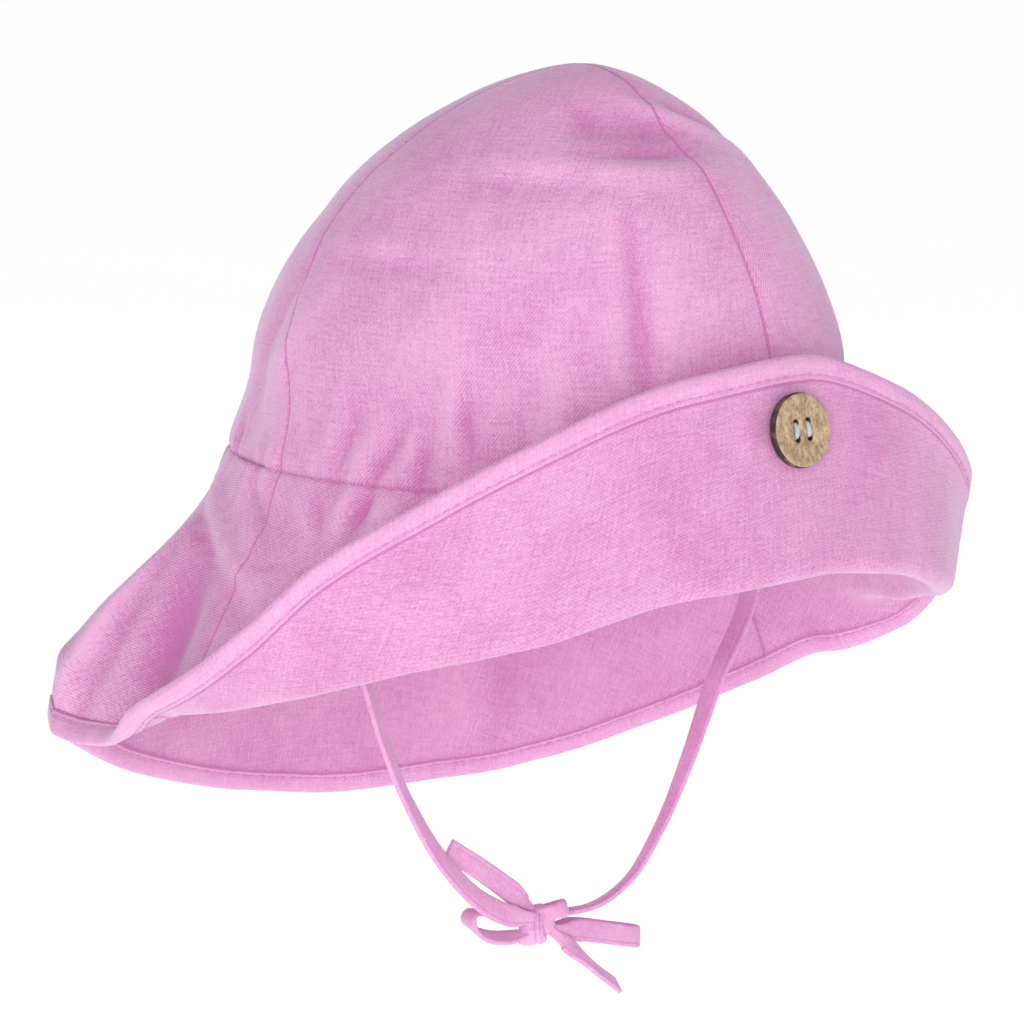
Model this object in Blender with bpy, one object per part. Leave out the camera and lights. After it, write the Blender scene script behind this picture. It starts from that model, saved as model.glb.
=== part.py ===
"""Baby sun hat: a crown of three gores, a brim turned up in front with a long neck flap behind, a band
round the brim's edge, a four-hole button and two flat ties in a bow under the chin.

Metres, +Z up, the front of the hat towards -Y and the wearer's right towards -X. The origin is the
middle of the head opening, at the height of the seam between crown and brim. Angles round the hat are
in degrees from the front, growing towards the wearer's right.
"""

import math
from collections import namedtuple
from functools import lru_cache

import bmesh
import bpy
from mathutils import Matrix, Vector

# Head opening and crown
OPENING_LENGTH = 0.160
OPENING_WIDTH = 0.136
CROWN_HEIGHT = 0.093
CROWN_ROUNDNESS = 1.19
APEX_FORWARD = 0.0145
APEX_HOLE_RADIUS = 0.0007
CROWN_CLOTH = 0.0014

# Brim, measured along the cloth from the crown seam
BRIM_BACK_WIDTH = 0.106
BRIM_CLOTH = 0.0018
FOLD_RADIUS = 0.0034
FOLD_SHORTEST = 0.008

# Band round the brim's edge
BINDING_WIDTH = 0.006
BINDING_THICKNESS = 0.0026

# Seams between the panels
SIDE_SEAM_ANGLE = 102.0
GORE_SEAM_ANGLE = 119.0
SEAM_DRIFT_START = 0.000
SEAM_DRIFT_END = 0.062
GAP = 0.0003

# Button
BUTTON_DIAMETER = 0.0170
BUTTON_THICKNESS = 0.0029
BUTTON_RIM_WIDTH = 0.0012
BUTTON_RIM_HEIGHT = 0.0004
BUTTON_EDGE_ROUND = 0.0006
BUTTON_BELOW_EDGE = 0.0168
BUTTON_ANGLE = 3.5
HOLE_DIAMETER = 0.0017
HOLE_SPACING = 0.0037

# Ties and bow
TIE_WIDTH = 0.0055
TIE_THICKNESS = 0.0013
TIE_POINT_SPACING = 0.005
BOW_POINT_SPACING = 0.0016
KNOT_LENGTH = 0.0072
KNOT_DEPTH = 0.0080
KNOT_HEIGHT = 0.0094
KNOT_PLACE = (-0.0014, -0.0017, -0.1152)

# Mesh fineness
CROWN_COLUMNS = 16
CROWN_ROWS = 11
BRIM_FRONT_COLUMNS = 44
BRIM_BACK_COLUMNS = 39
BRIM_SLOPE_ROWS = 5
BRIM_FOLD_ROWS = 5
BRIM_FLAP_ROWS = 3
PROFILE_STEPS = 120
BUTTON_SIDES = 32
HOLE_SIDES = 10

# Brim sections round the hat. Width is a share of the back width and fold a share of the section's own
# width. Start and middle are the slopes below level at the crown and before the fold, and turn is how
# far the fold turns the cloth up, all in degrees.
BrimSection = namedtuple("BrimSection", "angle width start middle fold turn")
BRIM_SECTIONS = (
    BrimSection(-180, 1.00, 70, 72, 0.60, 0),
    BrimSection(-165, 1.04, 69, 72, 0.60, 0),
    BrimSection(-150, 1.03, 68, 71, 0.60, 0),
    BrimSection(-138, 0.985, 68, 70, 0.60, 0),
    BrimSection(-120, 0.875, 66, 66, 0.60, 0),
    BrimSection(-105, 0.76, 63, 63, 0.62, 0),
    BrimSection(-90, 0.655, 61, 60, 0.66, 0),
    BrimSection(-80, 0.64, 60, 60, 0.70, 28),
    BrimSection(-70, 0.65, 59, 59, 0.70, 92),
    BrimSection(-58, 0.67, 58, 55, 0.64, 130),
    BrimSection(-45, 0.69, 57, 54, 0.56, 138),
    BrimSection(-20, 0.675, 57, 55, 0.39, 149),
    BrimSection(0, 0.69, 58, 57, 0.315, 156),
    BrimSection(20, 0.71, 58, 56, 0.345, 153),
    BrimSection(45, 0.785, 56, 54, 0.465, 146),
    BrimSection(60, 0.77, 57, 56, 0.55, 139),
    BrimSection(70, 0.755, 59, 59, 0.61, 131),
    BrimSection(80, 0.72, 61, 61, 0.70, 115),
    BrimSection(90, 0.70, 62, 62, 0.77, 98),
    BrimSection(102, 0.69, 63, 62, 0.83, 72),
    BrimSection(112, 0.71, 63, 61, 0.86, 25),
    BrimSection(121, 0.75, 62, 50, 0.85, -12),
    BrimSection(131, 0.79, 60, 32, 0.79, -60),
    BrimSection(145, 0.85, 62, 48, 0.78, -34),
    BrimSection(160, 0.92, 66, 64, 0.70, -10),
)

# Soft dents of the crown. Climb runs from 0 at the brim seam to 1 at the apex, and depth is a share of
# the crown's height.
Dent = namedtuple("Dent", "angle climb half_angle half_climb depth")
DENTS = (
    Dent(14, 0.67, 26, 0.09, 0.036),
    Dent(26, 0.36, 7, 0.16, 0.013),
    Dent(-22, 0.66, 18, 0.12, 0.018),
    Dent(118, 0.05, 7, 0.07, 0.017),
)

# Ridge and trough where the neck flap turns into the raised front. Place is a share of the brim's width,
# lean is how many degrees a row moves round for each whole width, height is a share of the back width
# and power is 1 for a sharp ridge and 2 for a round one.
Crease = namedtuple("Crease", "angle place half_angle half_place lean height power")
BRIM_CREASES = (
    Crease(126, 0.70, 5.5, 0.34, -11, 0.028, 1),
    Crease(114, 0.59, 6.2, 0.26, -15, -0.036, 2),
    Crease(136, 0.76, 9.5, 0.15, 0, -0.036, 2),
)

# Routes of the ties and of the bow's loops and tails. Twist turns the tape's width, in degrees, away
# from the direction that the tape lies along.
RoutePoint = namedtuple("RoutePoint", "x y z twist")
TIE_RIGHT_ROUTE = (
    RoutePoint(-0.0654, 0.0000, 0.0050, 0),
    RoutePoint(-0.0650, 0.0000, -0.0040, 5),
    RoutePoint(-0.0620, -0.0004, -0.0240, 35),
    RoutePoint(-0.0550, -0.0010, -0.0520, 49),
    RoutePoint(-0.0440, -0.0018, -0.0790, 52),
    RoutePoint(-0.0325, -0.0026, -0.0965, 62),
    RoutePoint(-0.0200, -0.0034, -0.1082, 70),
    RoutePoint(-0.0110, -0.0036, -0.1124, 84),
    RoutePoint(-0.0053, -0.0036, -0.1136, 90),
)
TIE_LEFT_ROUTE = (
    RoutePoint(0.0654, 0.0000, 0.0050, 0),
    RoutePoint(0.0658, 0.0000, -0.0040, -5),
    RoutePoint(0.0700, -0.0002, -0.0220, -20),
    RoutePoint(0.0710, -0.0004, -0.0420, -10),
    RoutePoint(0.0584, -0.0006, -0.0640, -5),
    RoutePoint(0.0494, -0.0008, -0.0820, 9),
    RoutePoint(0.0392, -0.0010, -0.0985, 20),
    RoutePoint(0.0285, -0.0010, -0.1100, 22),
    RoutePoint(0.0178, -0.0010, -0.1143, 13),
    RoutePoint(0.0089, -0.0010, -0.1146, 5),
    RoutePoint(0.0025, -0.0010, -0.1140, 0),
)
LOOP_RIGHT_ROUTE = (
    RoutePoint(-0.0053, -0.0024, -0.1174, -20),
    RoutePoint(-0.0141, -0.0024, -0.1172, -20),
    RoutePoint(-0.0193, -0.0023, -0.1160, -24),
    RoutePoint(-0.0226, -0.0016, -0.1140, -18),
    RoutePoint(-0.0236, -0.0008, -0.1117, -8),
    RoutePoint(-0.0219, 0.0001, -0.1104, -2),
    RoutePoint(-0.0167, 0.0006, -0.1114, 0),
    RoutePoint(-0.0110, 0.0011, -0.1132, 0),
    RoutePoint(-0.0053, 0.0014, -0.1142, 0),
)
LOOP_LEFT_ROUTE = (
    RoutePoint(0.0025, -0.0036, -0.1180, 0),
    RoutePoint(0.0120, -0.0037, -0.1195, 0),
    RoutePoint(0.0220, -0.0037, -0.1221, 0),
    RoutePoint(0.0288, -0.0036, -0.1238, 0),
    RoutePoint(0.0302, -0.0030, -0.1241, 0),
    RoutePoint(0.0308, -0.0019, -0.1242, 0),
    RoutePoint(0.0302, -0.0008, -0.1241, 0),
    RoutePoint(0.0288, -0.0002, -0.1238, 0),
    RoutePoint(0.0220, -0.0002, -0.1221, 0),
    RoutePoint(0.0120, -0.0003, -0.1195, 0),
    RoutePoint(0.0025, -0.0005, -0.1180, 0),
)
TAIL_RIGHT_ROUTE = (
    RoutePoint(-0.0053, -0.0014, -0.1105, 90),
    RoutePoint(-0.0110, -0.0012, -0.1062, 90),
    RoutePoint(-0.0200, -0.0004, -0.0996, 90),
    RoutePoint(-0.0290, 0.0004, -0.0937, 90),
)
TAIL_LEFT_ROUTE = (
    RoutePoint(0.0025, -0.0053, -0.1200, 80),
    RoutePoint(0.0067, -0.0070, -0.1240, 44),
    RoutePoint(0.0116, -0.0078, -0.1284, 33),
    RoutePoint(0.0192, -0.0072, -0.1338, 35),
)

# Colours, and how rough each surface is
CLOTH_COLOUR = (0.80, 0.41, 0.68, 1.0)
CLOTH_ROUGHNESS = 0.9
BUTTON_COLOUR = (0.43, 0.27, 0.15, 1.0)
BUTTON_ROUGHNESS = 0.5

FORE_AND_AFT = Vector((0.0, 1.0, 0.0))
UPRIGHT = Vector((0.0, 0.0, 1.0))

SectionFrame = namedtuple("SectionFrame", "place along across normal")


def clear_scene():
    """Remove the objects that the scene starts with."""
    for item in list(bpy.data.objects):
        bpy.data.objects.remove(item, do_unlink=True)


def make_material(name, colour, roughness):
    """A plain finish of one colour."""
    material = bpy.data.materials.new(name)
    material.use_nodes = True
    shader = material.node_tree.nodes["Principled BSDF"]
    shader.inputs["Base Color"].default_value = colour
    shader.inputs["Roughness"].default_value = roughness
    shader.inputs["Metallic"].default_value = 0.0
    material.diffuse_color = colour
    return material


def add_object(name, mesh, material):
    """Put a finished mesh in the scene as one named piece."""
    mesh.materials.append(material)
    mesh.shade_smooth()
    mesh.set_sharp_from_angle(angle=math.radians(50))
    piece = bpy.data.objects.new(name, mesh)
    bpy.context.scene.collection.objects.link(piece)
    return piece


def mesh_from(name, points, faces):
    """A mesh with every face turned outwards."""
    mesh = bpy.data.meshes.new(name)
    mesh.from_pydata([tuple(point) for point in points], [], faces)
    shape = bmesh.new()
    shape.from_mesh(mesh)
    bmesh.ops.recalc_face_normals(shape, faces=shape.faces)
    shape.to_mesh(mesh)
    shape.free()
    return mesh


def smooth_step(value):
    """Rise from 0 to 1 with level ends."""
    value = min(max(value, 0.0), 1.0)
    return value * value * (3.0 - 2.0 * value)


def direction(angle):
    """Level direction from the middle of the hat at an angle."""
    turn = math.radians(angle)
    return Vector((-math.sin(turn), -math.cos(turn), 0.0))


def row_slope(before, after, step_before, step_after):
    """Slope of a smooth curve at a table row, level where the column turns back."""
    if before * after <= 0.0:
        return 0.0
    weight_before = 2.0 * step_after + step_before
    weight_after = step_after + 2.0 * step_before
    return (weight_before + weight_after) / (weight_before / before + weight_after / after)


@lru_cache(maxsize=None)
def section_value(column, angle):
    """A column of the brim's table at any angle, on a smooth curve round the full circle."""
    first = BRIM_SECTIONS[0].angle
    angle = (angle - first) % 360.0 + first
    count = len(BRIM_SECTIONS)
    rows = [
        (BRIM_SECTIONS[place % count].angle + 360.0 * (place // count),
         getattr(BRIM_SECTIONS[place % count], column))
        for place in range(-2, count + 3)
    ]
    here = max(place for place in range(len(rows) - 2) if rows[place][0] <= angle)
    steps = [rows[place + 1][0] - rows[place][0] for place in (here - 1, here, here + 1)]
    rises = [(rows[here + offset + 1][1] - rows[here + offset][1]) / steps[offset + 1]
             for offset in (-1, 0, 1)]
    slope_here = row_slope(rises[0], rises[1], steps[0], steps[1])
    slope_next = row_slope(rises[1], rises[2], steps[1], steps[2])
    share = (angle - rows[here][0]) / steps[1]
    return (
        rows[here][1] * (2.0 * share ** 3 - 3.0 * share ** 2 + 1.0)
        + rows[here + 1][1] * (3.0 * share ** 2 - 2.0 * share ** 3)
        + slope_here * steps[1] * (share ** 3 - 2.0 * share ** 2 + share)
        + slope_next * steps[1] * (share ** 3 - share ** 2)
    )


def opening_radius(angle):
    """Radius of the oval head opening at an angle."""
    turn = math.radians(angle)
    across = math.sin(turn) / (OPENING_WIDTH / 2)
    along = math.cos(turn) / (OPENING_LENGTH / 2)
    return 1.0 / math.hypot(across, along)


def crown_centre(climb):
    """Middle of the crown's level section, which leans forward as it climbs."""
    height = math.sin(climb * math.pi / 2)
    lean = APEX_FORWARD * (0.5 * height + 0.5 * height ** 6)
    return Vector((0.0, -lean, CROWN_HEIGHT * height))


def crown_radius(angle, climb):
    """Radius of the crown's outside before it is dented."""
    return opening_radius(angle) * math.cos(climb * math.pi / 2) ** CROWN_ROUNDNESS


def dent_depth(angle, climb):
    """How far the soft dents push the crown in."""
    total = 0.0
    for dent in DENTS:
        off_angle = ((angle - dent.angle + 180.0) % 360.0 - 180.0) / dent.half_angle
        off_climb = (climb - dent.climb) / dent.half_climb
        total += CROWN_HEIGHT * dent.depth * math.exp(-off_angle ** 2 - off_climb ** 2)
    return total


def crown_point(angle, climb):
    """Point on the crown's outside."""
    reach = crown_radius(angle, climb) - dent_depth(angle, climb)
    return crown_centre(climb) + direction(angle) * reach


def surface_normal(surface, angle, run, angle_step, run_step):
    """Outward normal of a surface that runs down and out from the apex side."""
    round_way = surface(angle + angle_step, run) - surface(angle - angle_step, run)
    down_way = surface(angle, run + run_step) - surface(angle, run - run_step)
    return round_way.cross(down_way).normalized()


def crown_normal(angle, climb):
    """Outward normal of the crown."""
    def upside_down(at_angle, fall):
        return crown_point(at_angle, 1.0 - fall)

    return surface_normal(upside_down, angle, 1.0 - climb, 0.5, 0.004)


def seam_angle(seam, climb):
    """Angle of one of the crown's seams. The side seams drift forward near the brim."""
    height = CROWN_HEIGHT * math.sin(climb * math.pi / 2)
    drift = smooth_step((height - SEAM_DRIFT_START) / (SEAM_DRIFT_END - SEAM_DRIFT_START))
    side = SIDE_SEAM_ANGLE + (GORE_SEAM_ANGLE - SIDE_SEAM_ANGLE) * drift
    angles = {"front": 0.0, "right": side, "left": 360.0 - side, "front_again": 360.0}
    return angles[seam]


def grid_wall(name, outer, inner):
    """Closed wall between two matching grids of points."""
    rows = len(outer)
    columns = len(outer[0])
    layer = rows * columns
    points = [point for grid in (outer, inner) for row in grid for point in row]
    faces = []
    for row in range(rows - 1):
        for place in range(columns - 1):
            first = row * columns + place
            quad = (first, first + 1, first + columns + 1, first + columns)
            faces.append(quad)
            faces.append(tuple(layer + corner for corner in reversed(quad)))
    border = [place for place in range(columns)]
    border += [row * columns + columns - 1 for row in range(1, rows)]
    border += [(rows - 1) * columns + place for place in range(columns - 2, -1, -1)]
    border += [row * columns for row in range(rows - 2, 0, -1)]
    for place, corner in enumerate(border):
        following = border[(place + 1) % len(border)]
        faces.append((corner, following, layer + following, layer + corner))
    return mesh_from(name, points, faces)


def crown_gore(name, first_seam, last_seam, material):
    """One gore of the crown, from the brim seam to just short of the apex."""
    top = math.acos((APEX_HOLE_RADIUS / (OPENING_WIDTH / 2)) ** (1.0 / CROWN_ROUNDNESS)) / (math.pi / 2)
    outer = []
    inner = []
    for row in range(CROWN_ROWS + 1):
        climb = top * row / CROWN_ROWS
        first_angle = seam_angle(first_seam, climb)
        last_angle = seam_angle(last_seam, climb)
        half_gap = math.degrees(GAP / 2 / crown_radius((first_angle + last_angle) / 2, climb))
        start = first_angle + half_gap
        end = last_angle - half_gap
        outer_row = []
        inner_row = []
        for place in range(CROWN_COLUMNS + 1):
            angle = start + (end - start) * place / CROWN_COLUMNS
            point = crown_point(angle, climb)
            outer_row.append(point)
            inner_row.append(point - crown_normal(angle, climb) * CROWN_CLOTH)
        outer.append(outer_row)
        inner.append(inner_row)
    return add_object(name, grid_wall(name, outer, inner), material)


def brim_width(angle):
    """Width of the brim along its cloth, with its binding."""
    return BRIM_BACK_WIDTH * section_value("width", angle)


def fold_ends(angle):
    """Where along the cloth the brim's fold begins and ends."""
    width = brim_width(angle)
    turn = math.radians(abs(section_value("turn", angle)))
    half = max(turn * FOLD_RADIUS, FOLD_SHORTEST) / 2
    middle = section_value("fold", angle) * width
    return middle - half, middle + half


def brim_heading(angle, run):
    """Direction of the cloth in its upright plane, in radians above level."""
    fold_start, fold_end = fold_ends(angle)
    start = section_value("start", angle)
    middle = section_value("middle", angle)
    slope = start + (middle - start) * min(run / fold_start, 1.0)
    turned = section_value("turn", angle) * smooth_step((run - fold_start) / (fold_end - fold_start))
    return math.radians(turned - slope)


@lru_cache(maxsize=None)
def brim_profile(angle):
    """Radius and height at equal steps along the cloth, from the crown seam to the edge."""
    step = brim_width(angle) / PROFILE_STEPS
    slope = math.radians(section_value("start", angle))
    radius = opening_radius(angle) - CROWN_CLOTH / 2
    height = -GAP - BRIM_CLOTH / 2 * math.cos(slope)
    profile = [(radius, height)]
    for place in range(PROFILE_STEPS):
        heading = brim_heading(angle, (place + 0.5) * step)
        radius += step * math.cos(heading)
        height += step * math.sin(heading)
        profile.append((radius, height))
    return profile


def brim_point(angle, run):
    """Point in the middle of the brim's cloth."""
    profile = brim_profile(angle)
    place = run / brim_width(angle) * PROFILE_STEPS
    first = min(max(int(place), 0), PROFILE_STEPS - 1)
    share = place - first
    radius = profile[first][0] + (profile[first + 1][0] - profile[first][0]) * share
    height = profile[first][1] + (profile[first + 1][1] - profile[first][1]) * share
    return direction(angle) * radius + Vector((0.0, 0.0, height))


def crease_height(angle, share):
    """How far the brim's ridge and trough lift its cloth."""
    total = 0.0
    for crease in BRIM_CREASES:
        leaning = crease.angle + crease.lean * (share - crease.place)
        off_angle = abs((angle - leaning + 180.0) % 360.0 - 180.0) / crease.half_angle
        off_place = (share - crease.place) / crease.half_place
        total += crease.height * math.exp(-off_angle ** crease.power - off_place ** 2)
    return BRIM_BACK_WIDTH * total


def brim_frame(angle, run):
    """Place, direction along the cloth, and outward normal at a point of the brim."""
    heading = brim_heading(angle, run)
    along = direction(angle) * math.cos(heading) + Vector((0.0, 0.0, math.sin(heading)))
    share = run / brim_width(angle)
    after = brim_point(angle + 0.5, share * brim_width(angle + 0.5))
    before = brim_point(angle - 0.5, share * brim_width(angle - 0.5))
    across = (after - before).normalized()
    normal = across.cross(along).normalized()
    place = brim_point(angle, run) + normal * crease_height(angle, share)
    return SectionFrame(place, along, across, normal)


def brim_runs(angle):
    """Distances along the cloth of the panel's rows, closer together round the fold."""
    fold_start, fold_end = fold_ends(angle)
    end = brim_width(angle) - BINDING_WIDTH - GAP
    fold_end = min(fold_end, end - FOLD_SHORTEST / 4)
    runs = [fold_start * row / BRIM_SLOPE_ROWS for row in range(BRIM_SLOPE_ROWS)]
    runs += [fold_start + (fold_end - fold_start) * row / BRIM_FOLD_ROWS for row in range(BRIM_FOLD_ROWS)]
    runs += [fold_end + (end - fold_end) * row / BRIM_FLAP_ROWS for row in range(BRIM_FLAP_ROWS + 1)]
    return runs


def panel_angles(first_angle, last_angle, columns):
    """Angles of the columns of one brim panel, which stops just short of its seams."""
    half_gap = math.degrees(GAP / OPENING_WIDTH)
    start = first_angle + half_gap
    end = last_angle - half_gap
    return [start + (end - start) * place / columns for place in range(columns + 1)]


def brim_panel(name, first_angle, last_angle, columns, material):
    """One panel of the brim between two side seams."""
    outer = []
    inner = []
    for angle in panel_angles(first_angle, last_angle, columns):
        frames = [brim_frame(angle, run) for run in brim_runs(angle)]
        outer.append([frame.place + frame.normal * BRIM_CLOTH / 2 for frame in frames])
        inner.append([frame.place - frame.normal * BRIM_CLOTH / 2 for frame in frames])
    return add_object(name, grid_wall(name, outer, inner), material)


def brim_binding(name, material):
    """The band round the whole edge, rounded where it wraps the edge."""
    half = BINDING_THICKNESS / 2
    section = (
        (BINDING_WIDTH, -half), (BINDING_WIDTH / 2, -half), (half, -half), (0.0, -half / 2),
        (0.0, half / 2), (half, half), (BINDING_WIDTH / 2, half), (BINDING_WIDTH, half),
    )
    angles = panel_angles(-SIDE_SEAM_ANGLE, SIDE_SEAM_ANGLE, BRIM_FRONT_COLUMNS)
    angles += panel_angles(SIDE_SEAM_ANGLE, 360.0 - SIDE_SEAM_ANGLE, BRIM_BACK_COLUMNS)
    points = []
    for angle in angles:
        for inside_edge, off_cloth in section:
            frame = brim_frame(angle, brim_width(angle) - inside_edge)
            points.append(frame.place + frame.normal * off_cloth)
    faces = []
    for place in range(len(angles)):
        for corner in range(len(section)):
            here = place * len(section)
            following = (place + 1) % len(angles) * len(section)
            beside = (corner + 1) % len(section)
            faces.append((here + corner, here + beside, following + beside, following + corner))
    return add_object(name, mesh_from(name, points, faces), material)


def button_blank():
    """The button's turned shape, with its axis along Z and its back at height 0."""
    radius = BUTTON_DIAMETER / 2
    rounding = BUTTON_EDGE_ROUND
    dish = BUTTON_THICKNESS - BUTTON_RIM_HEIGHT
    profile = (
        (radius - 2 * rounding, 0.0), (radius - rounding / 3, rounding), (radius, BUTTON_THICKNESS / 2),
        (radius - rounding / 3, BUTTON_THICKNESS - rounding), (radius - rounding, BUTTON_THICKNESS),
        (radius - BUTTON_RIM_WIDTH, BUTTON_THICKNESS - BUTTON_RIM_HEIGHT / 3),
        (radius - 2 * BUTTON_RIM_WIDTH, dish),
    )
    points = []
    for reach, height in profile:
        for side in range(BUTTON_SIDES):
            turn = 2 * math.pi * side / BUTTON_SIDES
            points.append((reach * math.cos(turn), reach * math.sin(turn), height))
    faces = [tuple(range(BUTTON_SIDES))[::-1]]
    for ring in range(len(profile) - 1):
        for side in range(BUTTON_SIDES):
            beside = (side + 1) % BUTTON_SIDES
            low = ring * BUTTON_SIDES
            high = low + BUTTON_SIDES
            faces.append((low + side, low + beside, high + beside, high + side))
    last = (len(profile) - 1) * BUTTON_SIDES
    faces.append(tuple(range(last, last + BUTTON_SIDES)))
    return mesh_from("button", points, faces)


def hole_cutter(place_x, place_y):
    """A cutter for one of the button's thread holes."""
    shape = bmesh.new()
    bmesh.ops.create_cone(
        shape, cap_ends=True, segments=HOLE_SIDES, radius1=HOLE_DIAMETER / 2, radius2=HOLE_DIAMETER / 2,
        depth=3 * BUTTON_THICKNESS, matrix=Matrix.Translation((place_x, place_y, 0.0)),
    )
    mesh = bpy.data.meshes.new("hole_cutter")
    shape.to_mesh(mesh)
    shape.free()
    cutter = bpy.data.objects.new("hole_cutter", mesh)
    cutter.hide_render = True
    cutter.display_type = "WIRE"
    bpy.context.scene.collection.objects.link(cutter)
    return cutter


def sewn_button(name, material):
    """The button, seated on the turned-up front below its edge, with four thread holes."""
    run = brim_width(BUTTON_ANGLE) - BUTTON_BELOW_EDGE
    frame = brim_frame(BUTTON_ANGLE, run)
    facing = -frame.normal
    seat = frame.place + facing * (BRIM_CLOTH / 2 + GAP)
    turning = Matrix((frame.across, facing.cross(frame.across), facing)).transposed().to_4x4()
    placing = Matrix.Translation(seat) @ turning
    button = add_object(name, button_blank(), material)
    for side in (-1, 1):
        for level in (-1, 1):
            cutter = hole_cutter(side * HOLE_SPACING / 2, level * HOLE_SPACING / 2)
            cutter.matrix_world = placing
            cut = button.modifiers.new("thread_hole", "BOOLEAN")
            cut.operation = "DIFFERENCE"
            cut.solver = "EXACT"
            cut.object = cutter
    button.matrix_world = placing
    return button


def route_speed(route, point):
    """Rate of change of place and twist at a route's point, for each metre along it."""
    before = max(point - 1, 0)
    after = min(point + 1, len(route) - 1)
    rates = []
    spans = []
    for start, end in ((before, point), (point, after)):
        span = (Vector(route[end][:3]) - Vector(route[start][:3])).length
        if span > 0.0:
            rates.append([(route[end][axis] - route[start][axis]) / span for axis in range(4)])
            spans.append(span)
    if len(rates) == 1:
        return rates[0]
    whole = spans[0] + spans[1]
    return [(rates[0][axis] * spans[1] + rates[1][axis] * spans[0]) / whole for axis in range(4)]


def route_places(route, spacing):
    """Points and twists at even steps on a smooth curve through a route."""
    places = []
    for leg in range(len(route) - 1):
        start = route[leg]
        end = route[leg + 1]
        length = (Vector(end[:3]) - Vector(start[:3])).length
        leaving = route_speed(route, leg)
        arriving = route_speed(route, leg + 1)
        parts = max(int(round(length / spacing)), 1)
        for part in range(parts):
            share = part / parts
            places.append([
                start[axis] * (2.0 * share ** 3 - 3.0 * share ** 2 + 1.0)
                + end[axis] * (3.0 * share ** 2 - 2.0 * share ** 3)
                + leaving[axis] * length * (share ** 3 - 2.0 * share ** 2 + share)
                + arriving[axis] * length * (share ** 3 - share ** 2)
                for axis in range(4)
            ])
    places.append(list(route[-1]))
    return places


def tape(name, route, spacing, material, lying=FORE_AND_AFT, square_start=False, square_end=False):
    """A flat tape along a route. A square end stands upright across X, as at the knot's faces."""
    places = route_places(route, spacing)
    half_width = TIE_WIDTH / 2
    half = TIE_THICKNESS / 2
    section = (
        (-half_width, -half / 2), (-half_width + half / 2, -half), (half_width - half / 2, -half),
        (half_width, -half / 2), (half_width, half / 2), (half_width - half / 2, half),
        (-half_width + half / 2, half), (-half_width, half / 2),
    )
    last = len(places) - 1
    points = []
    for place in range(last + 1):
        before = Vector(places[max(place - 1, 0)][:3])
        after = Vector(places[min(place + 1, last)][:3])
        along = (after - before).normalized()
        if (square_start and place == 0) or (square_end and place == last):
            along = Vector((math.copysign(1.0, along.x), 0.0, 0.0))
        flat = (lying - along * lying.dot(along)).normalized()
        standing = along.cross(flat)
        twist = math.radians(places[place][3])
        wide = flat * math.cos(twist) + standing * math.sin(twist)
        thick = along.cross(wide)
        middle = Vector(places[place][:3])
        points += [middle + wide * across + thick * up for across, up in section]
    count = len(section)
    faces = [tuple(range(count)), tuple(range(last * count, last * count + count))]
    for place in range(last):
        for corner in range(count):
            beside = (corner + 1) % count
            here = place * count
            faces.append((here + corner, here + beside, here + count + beside, here + count + corner))
    return add_object(name, mesh_from(name, points, faces), material)


def bow_knot(name, material):
    """The knot that holds the bow, a small rounded block."""
    shape = bmesh.new()
    bmesh.ops.create_cube(shape, size=1.0)
    bmesh.ops.scale(shape, vec=(KNOT_LENGTH, KNOT_DEPTH, KNOT_HEIGHT), verts=shape.verts)
    bmesh.ops.bevel(shape, geom=shape.edges, offset=KNOT_DEPTH / 4, segments=2, profile=0.5,
                    affect="EDGES")
    bmesh.ops.translate(shape, vec=KNOT_PLACE, verts=shape.verts)
    mesh = bpy.data.meshes.new(name)
    shape.to_mesh(mesh)
    shape.free()
    return add_object(name, mesh, material)


def build():
    """Make every piece of the hat."""
    clear_scene()
    cloth = make_material("pink_cloth", CLOTH_COLOUR, CLOTH_ROUGHNESS)
    shell = make_material("coconut_shell", BUTTON_COLOUR, BUTTON_ROUGHNESS)
    crown_gore("crown_right", "front", "right", cloth)
    crown_gore("crown_back", "right", "left", cloth)
    crown_gore("crown_left", "left", "front_again", cloth)
    brim_panel("brim_front", -SIDE_SEAM_ANGLE, SIDE_SEAM_ANGLE, BRIM_FRONT_COLUMNS, cloth)
    brim_panel("brim_back", SIDE_SEAM_ANGLE, 360.0 - SIDE_SEAM_ANGLE, BRIM_BACK_COLUMNS, cloth)
    brim_binding("brim_binding", cloth)
    sewn_button("button", shell)
    tape("tie_right", TIE_RIGHT_ROUTE, TIE_POINT_SPACING, cloth, square_end=True)
    tape("tie_left", TIE_LEFT_ROUTE, TIE_POINT_SPACING, cloth, square_end=True)
    bow_knot("bow_knot", cloth)
    tape("bow_loop_right", LOOP_RIGHT_ROUTE, BOW_POINT_SPACING, cloth, square_start=True, square_end=True)
    tape("bow_loop_left", LOOP_LEFT_ROUTE, BOW_POINT_SPACING, cloth, UPRIGHT, square_start=True,
         square_end=True)
    tape("bow_tail_right", TAIL_RIGHT_ROUTE, BOW_POINT_SPACING, cloth, square_start=True)
    tape("bow_tail_left", TAIL_LEFT_ROUTE, BOW_POINT_SPACING, cloth, square_start=True)


build()
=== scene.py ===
"""How the baby sun hat looks: cloth with its folds, puckers and weave, stitches, button, ties and bow.

Metres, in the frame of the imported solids: +Z up, the front of the hat towards -Y, the wearer's right
towards -X. Angles round the hat are in degrees from the front, growing towards the wearer's right.
"""

from collections import namedtuple
from functools import cache
from math import acos, copysign, cos, exp, hypot, pi, radians, sin

import bmesh
import bpy
from mathutils import Matrix, Vector, noise


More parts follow.
